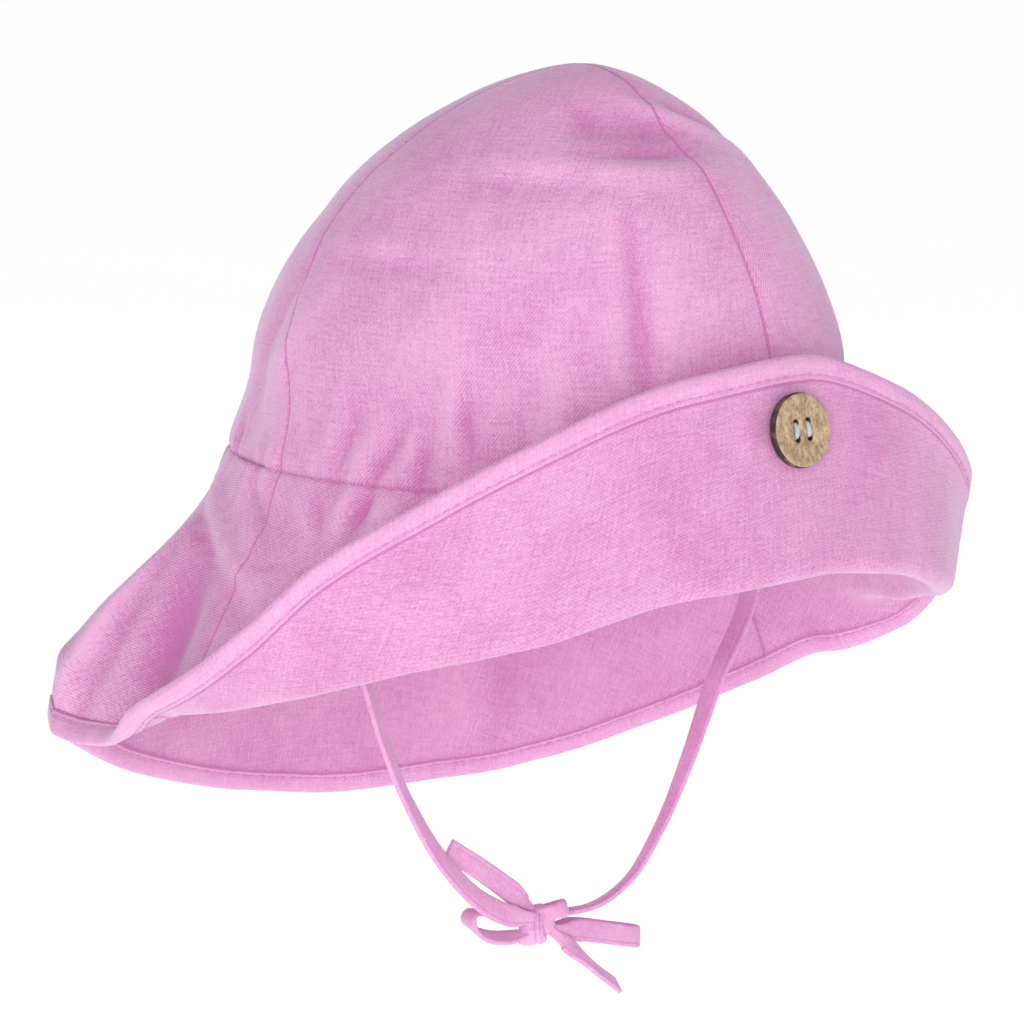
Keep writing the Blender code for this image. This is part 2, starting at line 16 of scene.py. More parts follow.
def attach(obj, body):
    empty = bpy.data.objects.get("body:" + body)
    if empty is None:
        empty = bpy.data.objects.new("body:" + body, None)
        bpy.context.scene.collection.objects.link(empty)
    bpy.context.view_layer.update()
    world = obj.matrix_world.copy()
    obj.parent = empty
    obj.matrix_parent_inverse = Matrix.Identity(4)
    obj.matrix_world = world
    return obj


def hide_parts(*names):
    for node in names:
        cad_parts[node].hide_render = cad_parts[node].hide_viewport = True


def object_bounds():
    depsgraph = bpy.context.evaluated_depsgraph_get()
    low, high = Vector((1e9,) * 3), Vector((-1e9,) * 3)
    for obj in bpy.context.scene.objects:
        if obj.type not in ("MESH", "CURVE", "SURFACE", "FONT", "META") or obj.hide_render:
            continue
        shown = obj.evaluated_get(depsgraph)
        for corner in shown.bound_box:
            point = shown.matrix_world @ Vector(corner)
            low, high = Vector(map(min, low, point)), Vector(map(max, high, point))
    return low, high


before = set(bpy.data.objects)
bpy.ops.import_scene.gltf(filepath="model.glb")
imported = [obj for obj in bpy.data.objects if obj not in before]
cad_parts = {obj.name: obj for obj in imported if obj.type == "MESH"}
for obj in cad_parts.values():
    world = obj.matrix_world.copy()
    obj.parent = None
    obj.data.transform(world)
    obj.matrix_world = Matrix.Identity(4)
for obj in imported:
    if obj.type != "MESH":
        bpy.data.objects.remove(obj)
CAD_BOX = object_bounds()


def table(columns, rows):
    """Rows of a table with named columns."""
    return [columns(*row) for row in rows]


# Head opening and crown
OPENING_LENGTH = 0.160
OPENING_WIDTH = 0.136
CROWN_HEIGHT = 0.093
CROWN_ROUNDNESS = 1.19
APEX_FORWARD = 0.0145
APEX_HOLE_RADIUS = 0.0007
CROWN_CLOTH = 0.0014

# Brim, measured along the cloth from the crown seam
BRIM_BACK_WIDTH = 0.106
BRIM_CLOTH = 0.0018
FOLD_RADIUS = 0.0034
FOLD_SHORTEST = 0.008

# Band round the brim's edge
BINDING_WIDTH = 0.006
BINDING_THICKNESS = 0.0026

# Seams between the panels
SIDE_SEAM_ANGLE = 102.0
GORE_SEAM_ANGLE = 119.0
SEAM_DRIFT_START = 0.000
SEAM_DRIFT_END = 0.062
GAP = 0.0003

# Button
BUTTON_DIAMETER = 0.0170
BUTTON_THICKNESS = 0.0029
BUTTON_RIM_WIDTH = 0.0012
BUTTON_RIM_HEIGHT = 0.0004
BUTTON_EDGE_ROUND = 0.0006
BUTTON_BELOW_EDGE = 0.0168
BUTTON_ANGLE = 3.5
HOLE_DIAMETER = 0.0017
HOLE_SPACING = 0.0037

# Ties and bow
TIE_WIDTH = 0.0055
TIE_THICKNESS = 0.0013
KNOT_PLACE = (-0.0014, -0.0017, -0.1152)

# Mesh fineness
PROFILE_STEPS = 120

# Brim sections round the hat. Width is a share of the back width and fold a share of the section's own
# width. Start and middle are the slopes below level at the crown and before the fold, and turn is how
# far the fold turns the cloth up, all in degrees.
BrimSection = namedtuple("BrimSection", "angle width start middle fold turn")
BRIM_SECTIONS = table(BrimSection, (
    (-180, 1.0, 70, 72, 0.6, 0),
    (-165, 1.04, 69, 72, 0.6, 0),
    (-150, 1.03, 68, 71, 0.6, 0),
    (-138, 0.985, 68, 70, 0.6, 0),
    (-120, 0.875, 66, 66, 0.6, 0),
    (-105, 0.76, 63, 63, 0.62, 0),
    (-90, 0.655, 61, 60, 0.66, 0),
    (-80, 0.64, 60, 60, 0.7, 28),
    (-70, 0.65, 59, 59, 0.7, 92),
    (-58, 0.67, 58, 55, 0.64, 130),
    (-45, 0.69, 57, 54, 0.56, 138),
    (-20, 0.675, 57, 55, 0.39, 149),
    (0, 0.69, 58, 57, 0.315, 156),
    (20, 0.71, 58, 56, 0.345, 153),
    (45, 0.785, 56, 54, 0.465, 146),
    (60, 0.77, 57, 56, 0.55, 139),
    (70, 0.755, 59, 59, 0.61, 131),
    (80, 0.72, 61, 61, 0.7, 115),
    (90, 0.7, 62, 62, 0.77, 98),
    (102, 0.69, 63, 62, 0.83, 72),
    (112, 0.71, 63, 61, 0.86, 25),
    (121, 0.75, 62, 50, 0.85, -12),
    (131, 0.79, 60, 32, 0.79, -60),
    (145, 0.85, 62, 48, 0.78, -34),
    (160, 0.92, 66, 64, 0.7, -10),
))

# Soft dents of the crown. Climb runs from 0 at the brim seam to 1 at the apex, and depth is a share of
# the crown's height.
Dent = namedtuple("Dent", "angle climb half_angle half_climb depth")
DENTS = table(Dent, (
    (14, 0.67, 26, 0.09, 0.036),
    (26, 0.36, 7, 0.16, 0.013),
    (-22, 0.66, 18, 0.12, 0.018),
    (118, 0.05, 7, 0.07, 0.017),
))

# Ridge and trough where the neck flap turns into the raised front. Place is a share of the brim's width,
# lean is how many degrees a row moves round for each whole width, height is a share of the back width
# and power is 1 for a sharp ridge and 2 for a round one.
Crease = namedtuple("Crease", "angle place half_angle half_place lean height power")
BRIM_CREASES = table(Crease, (
    (126, 0.7, 5.5, 0.34, -11, 0.028, 1),
    (114, 0.59, 6.2, 0.26, -15, -0.036, 2),
    (136, 0.76, 9.5, 0.15, 0, -0.036, 2),
))

# Routes of the ties and of the bow's loops and tails. Twist turns the tape's width, in degrees, away
# from the direction that the tape lies along.
RoutePoint = namedtuple("RoutePoint", "x y z twist")
TIE_RIGHT_ROUTE = table(RoutePoint, (
    (-0.0654, 0.0, 0.005, 0),
    (-0.065, 0.0, -0.004, 5),
    (-0.062, -0.0004, -0.024, 35),
    (-0.055, -0.001, -0.052, 49),
    (-0.044, -0.0018, -0.079, 52),
    (-0.0325, -0.0026, -0.0965, 62),
    (-0.02, -0.0034, -0.1082, 70),
    (-0.011, -0.0036, -0.1124, 84),
    (-0.0053, -0.0036, -0.1136, 90),
))
TIE_LEFT_ROUTE = table(RoutePoint, (
    (0.0654, 0.0, 0.005, 0),
    (0.0658, 0.0, -0.004, -5),
    (0.07, -0.0002, -0.022, -20),
    (0.071, -0.0004, -0.042, -10),
    (0.0584, -0.0006, -0.064, -5),
    (0.0494, -0.0008, -0.082, 9),
    (0.0392, -0.001, -0.0985, 20),
    (0.0285, -0.001, -0.11, 22),
    (0.0178, -0.001, -0.1143, 13),
    (0.0089, -0.001, -0.1146, 5),
    (0.0025, -0.001, -0.114, 0),
))
LOOP_RIGHT_ROUTE = table(RoutePoint, (
    (-0.0053, -0.0024, -0.1174, -20),
    (-0.0141, -0.0024, -0.1172, -20),
    (-0.0193, -0.0023, -0.116, -24),
    (-0.0226, -0.0016, -0.114, -18),
    (-0.0236, -0.0008, -0.1117, -8),
    (-0.0219, 0.0001, -0.1104, -2),
    (-0.0167, 0.0006, -0.1114, 0),
    (-0.011, 0.0011, -0.1132, 0),
    (-0.0053, 0.0014, -0.1142, 0),
))
LOOP_LEFT_ROUTE = table(RoutePoint, (
    (0.0025, -0.0036, -0.118, 0),
    (0.012, -0.0037, -0.1195, 0),
    (0.022, -0.0037, -0.1221, 0),
    (0.0288, -0.0036, -0.1238, 0),
    (0.0302, -0.003, -0.1241, 0),
    (0.0308, -0.0019, -0.1242, 0),
    (0.0302, -0.0008, -0.1241, 0),
    (0.0288, -0.0002, -0.1238, 0),
    (0.022, -0.0002, -0.1221, 0),
    (0.012, -0.0003, -0.1195, 0),
    (0.0025, -0.0005, -0.118, 0),
))
TAIL_RIGHT_ROUTE = table(RoutePoint, (
    (-0.0053, -0.0014, -0.1105, 90),
    (-0.011, -0.0012, -0.1062, 90),
    (-0.02, -0.0004, -0.0996, 90),
    (-0.029, 0.0004, -0.0937, 90),
))
TAIL_LEFT_ROUTE = table(RoutePoint, (
    (0.0025, -0.0053, -0.12, 80),
    (0.0067, -0.007, -0.124, 44),
    (0.0116, -0.0078, -0.1284, 33),
    (0.0192, -0.0072, -0.1338, 35),
))

FORE_AND_AFT = Vector((0.0, 1.0, 0.0))
UPRIGHT = Vector((0.0, 0.0, 1.0))

SectionFrame = namedtuple("SectionFrame", "place along across normal")


# Camera
CAMERA_AZIMUTH = -42.0
CAMERA_ELEVATION = 8.6
CAMERA_DISTANCE = 1.1
FRAME_WIDTH = 0.24556
AIM_RIGHT = -0.0067
AIM_UP = -0.0149
SENSOR_WIDTH = 36.0


def view_axes(azimuth, elevation):
    """Right, up and backward directions of a look at the hat."""
    azimuth = radians(azimuth)
    elevation = radians(elevation)
    right = Vector((cos(azimuth), sin(azimuth), 0.0))
    level = cos(elevation)
    backward = Vector((sin(azimuth) * level, -cos(azimuth) * level, sin(elevation)))
    return right, backward.cross(right), backward


def add_camera():
    """The camera at the photographed angle."""
    right, up, backward = view_axes(CAMERA_AZIMUTH, CAMERA_ELEVATION)
    lens = bpy.data.cameras.new("view")
    lens.sensor_width = SENSOR_WIDTH
    lens.lens = SENSOR_WIDTH * CAMERA_DISTANCE / FRAME_WIDTH
    camera = placed("view", lens)
    placing = Matrix((right, up, backward)).transposed().to_4x4()
    placing.translation = right * AIM_RIGHT + up * AIM_UP + backward * CAMERA_DISTANCE
    camera.matrix_world = placing
    bpy.context.scene.camera = camera


def smooth_step(value):
    """Rise from 0 to 1 with level ends."""
    value = min(max(value, 0.0), 1.0)
    return value * value * (3.0 - 2.0 * value)


def short_way(turn):
    """A turn in degrees the short way round, from -180 to 180."""
    return (turn + 180.0) % 360.0 - 180.0


def smooth_weights(share):
    """Weights of a smooth curve's start, end, leaving slope and arriving slope."""
    square = share ** 2
    cube = share ** 3
    end = 3.0 * square - 2.0 * cube
    return 1.0 - end, end, cube - 2.0 * square + share, cube - square


def direction(angle):
    """Level direction from the middle of the hat at an angle."""
    turn = radians(angle)
    return Vector((-sin(turn), -cos(turn), 0.0))


def row_slope(before, after, step_before, step_after):
    """Slope of a smooth curve at a table row, level where the column turns back."""
    if before * after <= 0.0:
        return 0.0
    weight_before = 2.0 * step_after + step_before
    weight_after = step_after + 2.0 * step_before
    return (weight_before + weight_after) / (weight_before / before + weight_after / after)


@cache
def section_value(column, angle):
    """A column of the brim's table at any angle, on a smooth curve round the full circle."""
    first = BRIM_SECTIONS[0].angle
    angle = (angle - first) % 360.0 + first
    count = len(BRIM_SECTIONS)
    rows = [
        (BRIM_SECTIONS[place % count].angle + 360.0 * (place // count),
         getattr(BRIM_SECTIONS[place % count], column))
        for place in range(-2, count + 3)
    ]
    here = max(place for place in range(len(rows) - 2) if rows[place][0] <= angle)
    steps = [rows[place + 1][0] - rows[place][0] for place in (here - 1, here, here + 1)]
    rises = [(rows[here + offset + 1][1] - rows[here + offset][1]) / steps[offset + 1]
             for offset in (-1, 0, 1)]
    slope_here = row_slope(rises[0], rises[1], steps[0], steps[1])
    slope_next = row_slope(rises[1], rises[2], steps[1], steps[2])
    share = (angle - rows[here][0]) / steps[1]
    values = (rows[here][1], rows[here + 1][1], slope_here * steps[1], slope_next * steps[1])
    return sum(value * weight for value, weight in zip(values, smooth_weights(share)))


def opening_radius(angle):
    """Radius of the oval head opening at an angle."""
    turn = radians(angle)
    across = sin(turn) / (OPENING_WIDTH / 2)
    along = cos(turn) / (OPENING_LENGTH / 2)
    return 1.0 / hypot(across, along)


def crown_centre(climb):
    """Middle of the crown's level section, which leans forward as it climbs."""
    height = sin(climb * pi / 2)
    lean = APEX_FORWARD * (0.5 * height + 0.5 * height ** 6)
    return Vector((0.0, -lean, CROWN_HEIGHT * height))


def crown_radius(angle, climb):
    """Radius of the crown's outside before it is dented."""
    return opening_radius(angle) * cos(climb * pi / 2) ** CROWN_ROUNDNESS


def dent_depth(angle, climb):
    """How far the soft dents push the crown in."""
    total = 0.0
    for dent in DENTS:
        off_angle = short_way(angle - dent.angle) / dent.half_angle
        off_climb = (climb - dent.climb) / dent.half_climb
        total += CROWN_HEIGHT * dent.depth * exp(-off_angle ** 2 - off_climb ** 2)
    return total


def crown_point(angle, climb):
    """Point on the crown's outside."""
    reach = crown_radius(angle, climb) - dent_depth(angle, climb)
    return crown_centre(climb) + direction(angle) * reach


def surface_normal(surface, angle, run, angle_step, run_step):
    """Outward normal of a surface that runs down and out from the apex side."""
    round_way = surface(angle + angle_step, run) - surface(angle - angle_step, run)
    down_way = surface(angle, run + run_step) - surface(angle, run - run_step)
    return round_way.cross(down_way).normalized()


def crown_normal(angle, climb):
    """Outward normal of the crown."""
    def upside_down(at_angle, fall):
        return crown_point(at_angle, 1.0 - fall)

    return surface_normal(upside_down, angle, 1.0 - climb, 0.5, 0.004)


def seam_angle(seam, climb):
    """Angle of one of the crown's seams. The side seams drift forward near the brim."""
    height = CROWN_HEIGHT * sin(climb * pi / 2)
    drift = smooth_step((height - SEAM_DRIFT_START) / (SEAM_DRIFT_END - SEAM_DRIFT_START))
    side = SIDE_SEAM_ANGLE + (GORE_SEAM_ANGLE - SIDE_SEAM_ANGLE) * drift
    angles = {"front": 0.0, "right": side, "left": 360.0 - side, "front_again": 360.0}
    return angles[seam]


def brim_width(angle):
    """Width of the brim along its cloth, with its binding."""
    return BRIM_BACK_WIDTH * section_value("width", angle)


def fold_ends(angle):
    """Where along the cloth the brim's fold begins and ends."""
    width = brim_width(angle)
    turn = radians(abs(section_value("turn", angle)))
    half = max(turn * FOLD_RADIUS, FOLD_SHORTEST) / 2
    middle = section_value("fold", angle) * width
    return middle - half, middle + half


def brim_heading(angle, run):
    """Direction of the cloth in its upright plane, in radians above level."""
    fold_start, fold_end = fold_ends(angle)
    start = section_value("start", angle)
    middle = section_value("middle", angle)
    slope = start + (middle - start) * min(run / fold_start, 1.0)
    turned = section_value("turn", angle) * smooth_step((run - fold_start) / (fold_end - fold_start))
    return radians(turned - slope)


@cache
def brim_profile(angle):
    """Radius and height at equal steps along the cloth, from the crown seam to the edge."""
    step = brim_width(angle) / PROFILE_STEPS
    slope = radians(section_value("start", angle))
    radius = opening_radius(angle) - CROWN_CLOTH / 2
    height = -GAP - BRIM_CLOTH / 2 * cos(slope)
    profile = [(radius, height)]
    for place in range(PROFILE_STEPS):
        heading = brim_heading(angle, (place + 0.5) * step)
        radius += step * cos(heading)
        height += step * sin(heading)
        profile.append((radius, height))
    return profile


def brim_point(angle, run):
    """Point in the middle of the brim's cloth."""
    profile = brim_profile(angle)
    place = run / brim_width(angle) * PROFILE_STEPS
    first = min(max(int(place), 0), PROFILE_STEPS - 1)
    share = place - first
    radius = profile[first][0] + (profile[first + 1][0] - profile[first][0]) * share
    height = profile[first][1] + (profile[first + 1][1] - profile[first][1]) * share
    return direction(angle) * radius + UPRIGHT * height


def crease_height(angle, share):
    """How far the brim's ridge and trough lift its cloth."""
    total = 0.0
    for crease in BRIM_CREASES:
        leaning = crease.angle + crease.lean * (share - crease.place)
        off_angle = abs(short_way(angle - leaning)) / crease.half_angle
        off_place = (share - crease.place) / crease.half_place
        total += crease.height * exp(-off_angle ** crease.power - off_place ** 2)
    return BRIM_BACK_WIDTH * total


def brim_frame(angle, run):
    """Place, direction along the cloth, and outward normal at a point of the brim."""
    heading = brim_heading(angle, run)
    along = direction(angle) * cos(heading) + UPRIGHT * sin(heading)
    share = run / brim_width(angle)
    after = brim_point(angle + 0.5, share * brim_width(angle + 0.5))
    before = brim_point(angle - 0.5, share * brim_width(angle - 0.5))
    across = (after - before).normalized()
    normal = across.cross(along).normalized()
    place = brim_point(angle, run) + normal * crease_height(angle, share)
    return SectionFrame(place, along, across, normal)


def route_speed(route, point):
    """Rate of change of place and twist at a route's point, for each metre along it."""
    before = max(point - 1, 0)
    after = min(point + 1, len(route) - 1)
    rates = []
    spans = []
    for start, end in ((before, point), (point, after)):
        span = (Vector(route[end][:3]) - Vector(route[start][:3])).length
        if span > 0.0:
            rates.append([(route[end][axis] - route[start][axis]) / span for axis in range(4)])
            spans.append(span)
    if len(rates) == 1:
        return rates[0]
    whole = spans[0] + spans[1]
    return [(rates[0][axis] * spans[1] + rates[1][axis] * spans[0]) / whole for axis in range(4)]


def route_places(route, spacing):
    """Points and twists at even steps on a smooth curve through a route."""
    places = []
    for leg in range(len(route) - 1):
        start = route[leg]
        end = route[leg + 1]
        length = (Vector(end[:3]) - Vector(start[:3])).length
        leaving = route_speed(route, leg)
        arriving = route_speed(route, leg + 1)
        parts = max(int(round(length / spacing)), 1)
        for part in range(parts):
            from_start, from_end, from_leaving, from_arriving = smooth_weights(part / parts)
            places.append([
                start[axis] * from_start + end[axis] * from_end
                + (leaving[axis] * from_leaving + arriving[axis] * from_arriving) * length
                for axis in range(4)
            ])
    places.append(list(route[-1]))
    return places


# Fineness of the visible pieces
GORE_COLUMNS = 90
GORE_ROWS = 76
FRONT_COLUMNS = 230
BACK_COLUMNS = 290
SLOPE_ROWS = 22
FOLD_ROWS = 12
FLAP_ROWS = 14
TAPE_STEP = 0.0012
RING_SIDES = 40
BUTTON_FINE_SIDES = 72
BUTTON_DARK_RINGS = 5

# Shares of a gore's or panel's width, beside a seam, that get rows of points of their own
NEAR_GORE_SEAM = (0.0022, 0.0048, 0.0078, 0.0115, 0.0165, 0.0225)
NEAR_FRONT_SEAM = (0.0012, 0.0026, 0.0042, 0.0062, 0.0090, 0.0120)
NEAR_BACK_SEAM = (0.0015, 0.0032, 0.0052, 0.0078, 0.0112, 0.0150)
NEAR_BRIM_SEAM = (0.0030, 0.0064, 0.0104, 0.0154, 0.0220)
NEAR_EDGE = (0.0002, 0.0006, 0.0011, 0.0018, 0.0028)
SEAM_BLEND = 0.010

# The crown's foot flares out into the brim, below a slight waist
FLARE = 0.0016
FLARE_REACH = 0.0080
WAIST = 0.0011
WAIST_PLACE = 0.0160
WAIST_REACH = 0.0080

# How far cloth runs in under the piece that it is sewn to
SEAM_TUCK = 0.0006
BINDING_TUCK = 0.0010

# Seams sink in, and the cloth stands a little proud beside them
SEAM_FURROW = 0.00032
SEAM_FURROW_WIDTH = 0.0005
EDGE_FURROW = 0.00045
EDGE_FURROW_WIDTH = 0.0007
SEAM_RIDGE = 0.00010
# Painted shade and painted highlight, carried in each piece's shade attribute: the cloth's colour darkens
# along seams, in folds and in the brim's trough, and lightens on ridges
SEAM_SHADE = 1.2
SEAM_SHADE_WIDTH = 0.00040
BRIM_SEAM_SHADE = 0.38
CREASE_SHADE = 0.55
FOLD_SHADE_DEPTH = 0.0027
RIDGE_LIGHT = 0.8
FOLD_REACH = 2.6
SEAM_RIDGE_PLACE = 0.0034
SEAM_RIDGE_WIDTH = 0.0016

# Unevenness of the cloth
BROAD_WAVE_SIZE = 0.024
BROAD_WAVE_HEIGHT = 0.00050
SMALL_WAVE_SIZE = 0.008
SMALL_WAVE_HEIGHT = 0.00011
GATHER_SIZE = 0.0062
GATHER_HEIGHT = 0.00042
GATHER_AT_EARS = 0.00055
GATHER_REACH = 0.009

# Stitches of the binding
STITCH_PITCH = 0.0026
STITCH_LENGTH = 0.0016
STITCH_RADIUS = 0.00025
STITCH_ROW = 0.0047
STITCH_GROOVE = 0.00030
STITCH_SHADE = 0.35
STITCH_SIDES = 6
STITCH_RINGS = ((-1.0, 0.0), (-0.7, 0.75), (0.0, 1.0), (0.7, 0.75), (1.0, 0.0))
RIPPLE = 0.00016
RIPPLE_SIZE = 0.004

# The flat cut brim, for places in its weave
FLAT_TURN = 0.49
FLAT_RADIUS = 0.15

# Half of a tape's cross section, in shares of its half width and half thickness, with its sewn line
TAPE_SECTION = (
    (-1.0, 0.25), (-0.97, 0.62), (-0.88, 0.92), (-0.70, 1.0), (-0.62, 0.93), (-0.56, 0.66), (-0.50, 0.93),
    (-0.40, 1.0), (0.0, 1.02), (0.5, 1.0), (0.86, 0.92), (0.97, 0.62), (1.0, 0.25),
)
TAPE_WANDER_SIZE = 0.011

# The knot: its core's radii, and each wrap's radii, width and groove's height in its section
KNOT_CORE_RADII = (0.0036, 0.0038, 0.0042)
LOW_WRAP_RADII = (0.0046, 0.0041)
LOW_WRAP_WIDTH = 0.0064
LOW_WRAP_GROOVE = 0.35
HIGH_WRAP_RADII = (0.0038, 0.0041)
HIGH_WRAP_WIDTH = 0.0042
HIGH_WRAP_GROOVE = 1.05

# Thread in the button
THREAD_RADIUS = 0.00021
THREAD_SPACING = 0.00034
THREAD_DEPTH = 0.0012
THREAD_ARCH = 0.00136
THREAD_CROWN = 0.00006
THREAD_STEPS = 12
THREAD_SIDES = 8

# Folds in the cloth, each a soft ridge, or a furrow where its height is below 0. Place is the climb on
# the crown and the share of the width on the brim, lean is how many degrees the fold moves round for
# each whole place, and height is in millimetres.
Fold = namedtuple("Fold", "angle place half_angle half_place lean height")
CROWN_FOLDS = table(Fold, (
    (36, 0.68, 8, 0.05, 0, -1.1),
    (15, 0.59, 17, 0.016, -20, -1.52),
    (12, 0.64, 18, 0.04, 0, -1.28),
    (15, 0.545, 20, 0.026, 0, 0.72),
    (25, 0.26, 2.0, 0.19, 0, -1.45),
    (29.5, 0.32, 3.4, 0.18, 0, 0.72),
    (20, 0.3, 3.6, 0.15, 0, 0.56),
    (-14, 0.66, 10, 0.08, 240, 1.44),
    (-26, 0.66, 9, 0.08, 240, -1.28),
    (65, 0.035, 1.5, 0.045, 0, -1.76),
    (68.5, 0.05, 1.9, 0.05, 0, 0.96),
    (57, 0.1, 1.4, 0.06, 20, -1.44),
    (60.5, 0.12, 2.0, 0.08, 0, 0.8),
    (73.5, 0.04, 1.6, 0.05, -60, -1.6),
    (78, 0.06, 2.2, 0.06, -30, 0.96),
    (84, 0.05, 1.6, 0.055, -30, -1.12),
    (90, 0.07, 2.4, 0.07, -20, 0.72),
    (46, 0.06, 1.8, 0.07, 0, -0.72),
    (41, 0.14, 2.6, 0.11, 0, 0.56),
    (36, 0.08, 1.7, 0.08, 0, -0.56),
    (12, 0.13, 2.0, 0.11, 0, -0.56),
    (128, 0.03, 2.4, 0.04, 0, -1.44),
    (112, 0.16, 4.0, 0.08, -60, 1.28),
    (118, 0.26, 3.0, 0.1, -30, -0.96),
    (86, 0.35, 18, 0.022, 0, -0.64),
    (84, 0.385, 18, 0.024, 0, 0.48),
    (52, 0.515, 24, 0.03, 10, -0.72),
    (50, 0.565, 24, 0.034, 10, 0.64),
    (62, 0.43, 3.4, 0.12, 30, 0.64),
    (-60, 0.12, 2.6, 0.11, 0, -0.96),
    (-74, 0.06, 2.0, 0.06, 20, -1.28),
    (-98, 0.09, 2.8, 0.09, 10, -0.96),
    (-135, 0.11, 3.4, 0.11, 0, -0.96),
    (-160, 0.3, 14, 0.04, 0, -0.8),
    (165, 0.14, 3.2, 0.12, 0, -0.88),
    (150, 0.42, 16, 0.04, 10, -0.5),
))
BRIM_FOLDS = table(Fold, (
    (76, 0.05, 1.7, 0.09, 22, -2.72),
    (80.5, 0.06, 2.2, 0.1, 22, 1.6),
    (71.5, 0.05, 2.0, 0.08, 10, 1.36),
    (66.5, 0.03, 1.5, 0.06, 0, -1.44),
    (62, 0.03, 1.8, 0.06, 0, 0.96),
    (57, 0.02, 1.4, 0.05, 0, -1.12),
    (88, 0.08, 1.6, 0.1, -34, -1.52),
    (92.5, 0.09, 2.0, 0.1, -44, 1.12),
    (106, 0.13, 2.6, 0.1, -70, -1.44),
    (115, 0.25, 3.6, 0.16, -115, 1.92),
    (124, 0.26, 3.6, 0.14, -115, -1.28),
    (98, 0.315, 6.0, 0.014, 0, -0.96),
    (98, 0.35, 6.0, 0.02, 0, 0.56),
    (126.4, 0.7, 0.85, 0.3, -8, 1.7),
    (133, 0.81, 7.0, 0.1, 0, -1.3),
    (123.6, 0.66, 1.6, 0.29, -12, -1.5),
    (116, 0.6, 3.4, 0.22, -18, -0.8),
    (11.5, 0.79, 1.2, 0.06, 0, -0.88),
    (14.5, 0.8, 2.0, 0.07, 0, 0.48),
    (40, 0.8, 7.0, 0.12, 0, 0.8),
    (56, 0.83, 6.0, 0.11, 0, -0.72),
    (-12, 0.78, 7.0, 0.12, 0, -0.64),
    (27, 0.76, 6.0, 0.14, 0, -0.48),
    (-40, 0.8, 6.0, 0.12, 0, 0.8),
    (-75, 0.06, 1.8, 0.09, -20, -2.08),
    (-84, 0.08, 2.2, 0.1, -20, 1.12),
    (-104, 0.12, 2.6, 0.12, 20, -1.44),
    (-128, 0.3, 5.0, 0.26, 0, 1.23),
    (-150, 0.36, 5.0, 0.3, 0, -1.12),
    (-172, 0.4, 5.0, 0.32, 0, 1.12),
    (166, 0.38, 5.0, 0.3, 0, -1.12),
    (150, 0.42, 4.5, 0.26, 0, 1.28),
    (-150, 0.78, 5.0, 0.25, 0, 1.0),
    (-143, 0.78, 3.0, 0.2, 0, -0.7),
    (178, 0.06, 2.0, 0.08, 0, -1.28),
    (-140, 0.06, 2.0, 0.08, 0, -1.28),
))

# Colours, in linear light
CLOTH_LIGHT = (0.860, 0.480, 0.745, 1.0)
CLOTH_DARK = (0.620, 0.190, 0.465, 1.0)
LINING_LIGHT = (0.755, 0.382, 0.628, 1.0)
LINING_DARK = (0.550, 0.190, 0.425, 1.0)
BAND_LIGHT = (0.840, 0.460, 0.715, 1.0)
BAND_DARK = (0.640, 0.245, 0.510, 1.0)
STITCH_COLOUR = (0.780, 0.380, 0.640, 1.0)
SHELL_LIGHT = (0.620, 0.450, 0.285, 1.0)
SHELL_DARK = (0.260, 0.165, 0.085, 1.0)
HUSK_DARK = (0.030, 0.020, 0.018, 1.0)
THREAD_LIGHT = (0.700, 0.730, 0.760, 1.0)
THREAD_DARK = (0.360, 0.410, 0.460, 1.0)
FLOOR_LIGHT = (0.900, 0.900, 0.900, 1.0)
FLOOR_DARK = (0.8865, 0.8865, 0.8865, 1.0)
FLOOR_SIZE = 30.0
FLOOR_BELOW = 0.16
WHITE = (1.0, 1.0, 1.0, 1.0)
FLOOR_GLOW = 0.62
WORLD_LIGHT = 0.41
FRONT_POWER = 14.5
RIGHT_POWER = 5.0
LOW_POWER = 0.6


def placed(name, data):
    """A new object with its data, in the scene."""
    item = bpy.data.objects.new(name, data)
    bpy.context.scene.collection.objects.link(item)
    return item


def mesh_of(name, shape):
    """A mesh made from an edited shape, which is then let go."""
    mesh = bpy.data.meshes.new(name)
    shape.to_mesh(mesh)
    shape.free()
    return mesh


def points_and_faces(shape):
    """Points and faces of an edited shape, which is then let go."""
    shape.verts.index_update()
    points = [vertex.co.copy() for vertex in shape.verts]
    faces = [tuple(vertex.index for vertex in face.verts) for face in shape.faces]
    shape.free()
    return points, faces


def circle(count):
    """Cosines and sines at even steps round a full turn."""
    turns = [2 * pi * step / count for step in range(count)]
    return [(cos(turn), sin(turn)) for turn in turns]


def even_steps(start, end, count):
    """Even steps from a start towards an end, without the end itself."""
    return [start + (end - start) * step / count for step in range(count)]


def bell(away, width):
    """Height of a soft bell of height 1 at a distance from its middle."""
    return exp(-(away / width) ** 2)


def tube_faces(rings, count, closed=False, first=0):
    """Faces between neighbouring rings of points, and from the last ring to the first where closed."""
    faces = []
    for ring in range(rings if closed else rings - 1):
        here = first + ring * count
        after = first + (ring + 1) % rings * count
        for corner in range(count):
            beside = (corner + 1) % count
            faces.append((here + corner, here + beside, after + beside, after + corner))
    return faces


def end_faces(rings, count, first=0):
    """Faces that close a tube's first and last ring."""
    return [tuple(range(start, start + count)) for start in (first, first + (rings - 1) * count)]


def close_to_ends(count, near, both_ends=True):
    """Shares from 0 to 1 in even steps, with extra ones near the ends."""
    last = 1.0 - near[-1] if both_ends else 1.0
    shares = [0.0, *near[:-1], *even_steps(near[-1], last, count), last]
    if both_ends:
        shares += [1.0 - share for share in reversed(near[:-1])] + [1.0]
    return shares


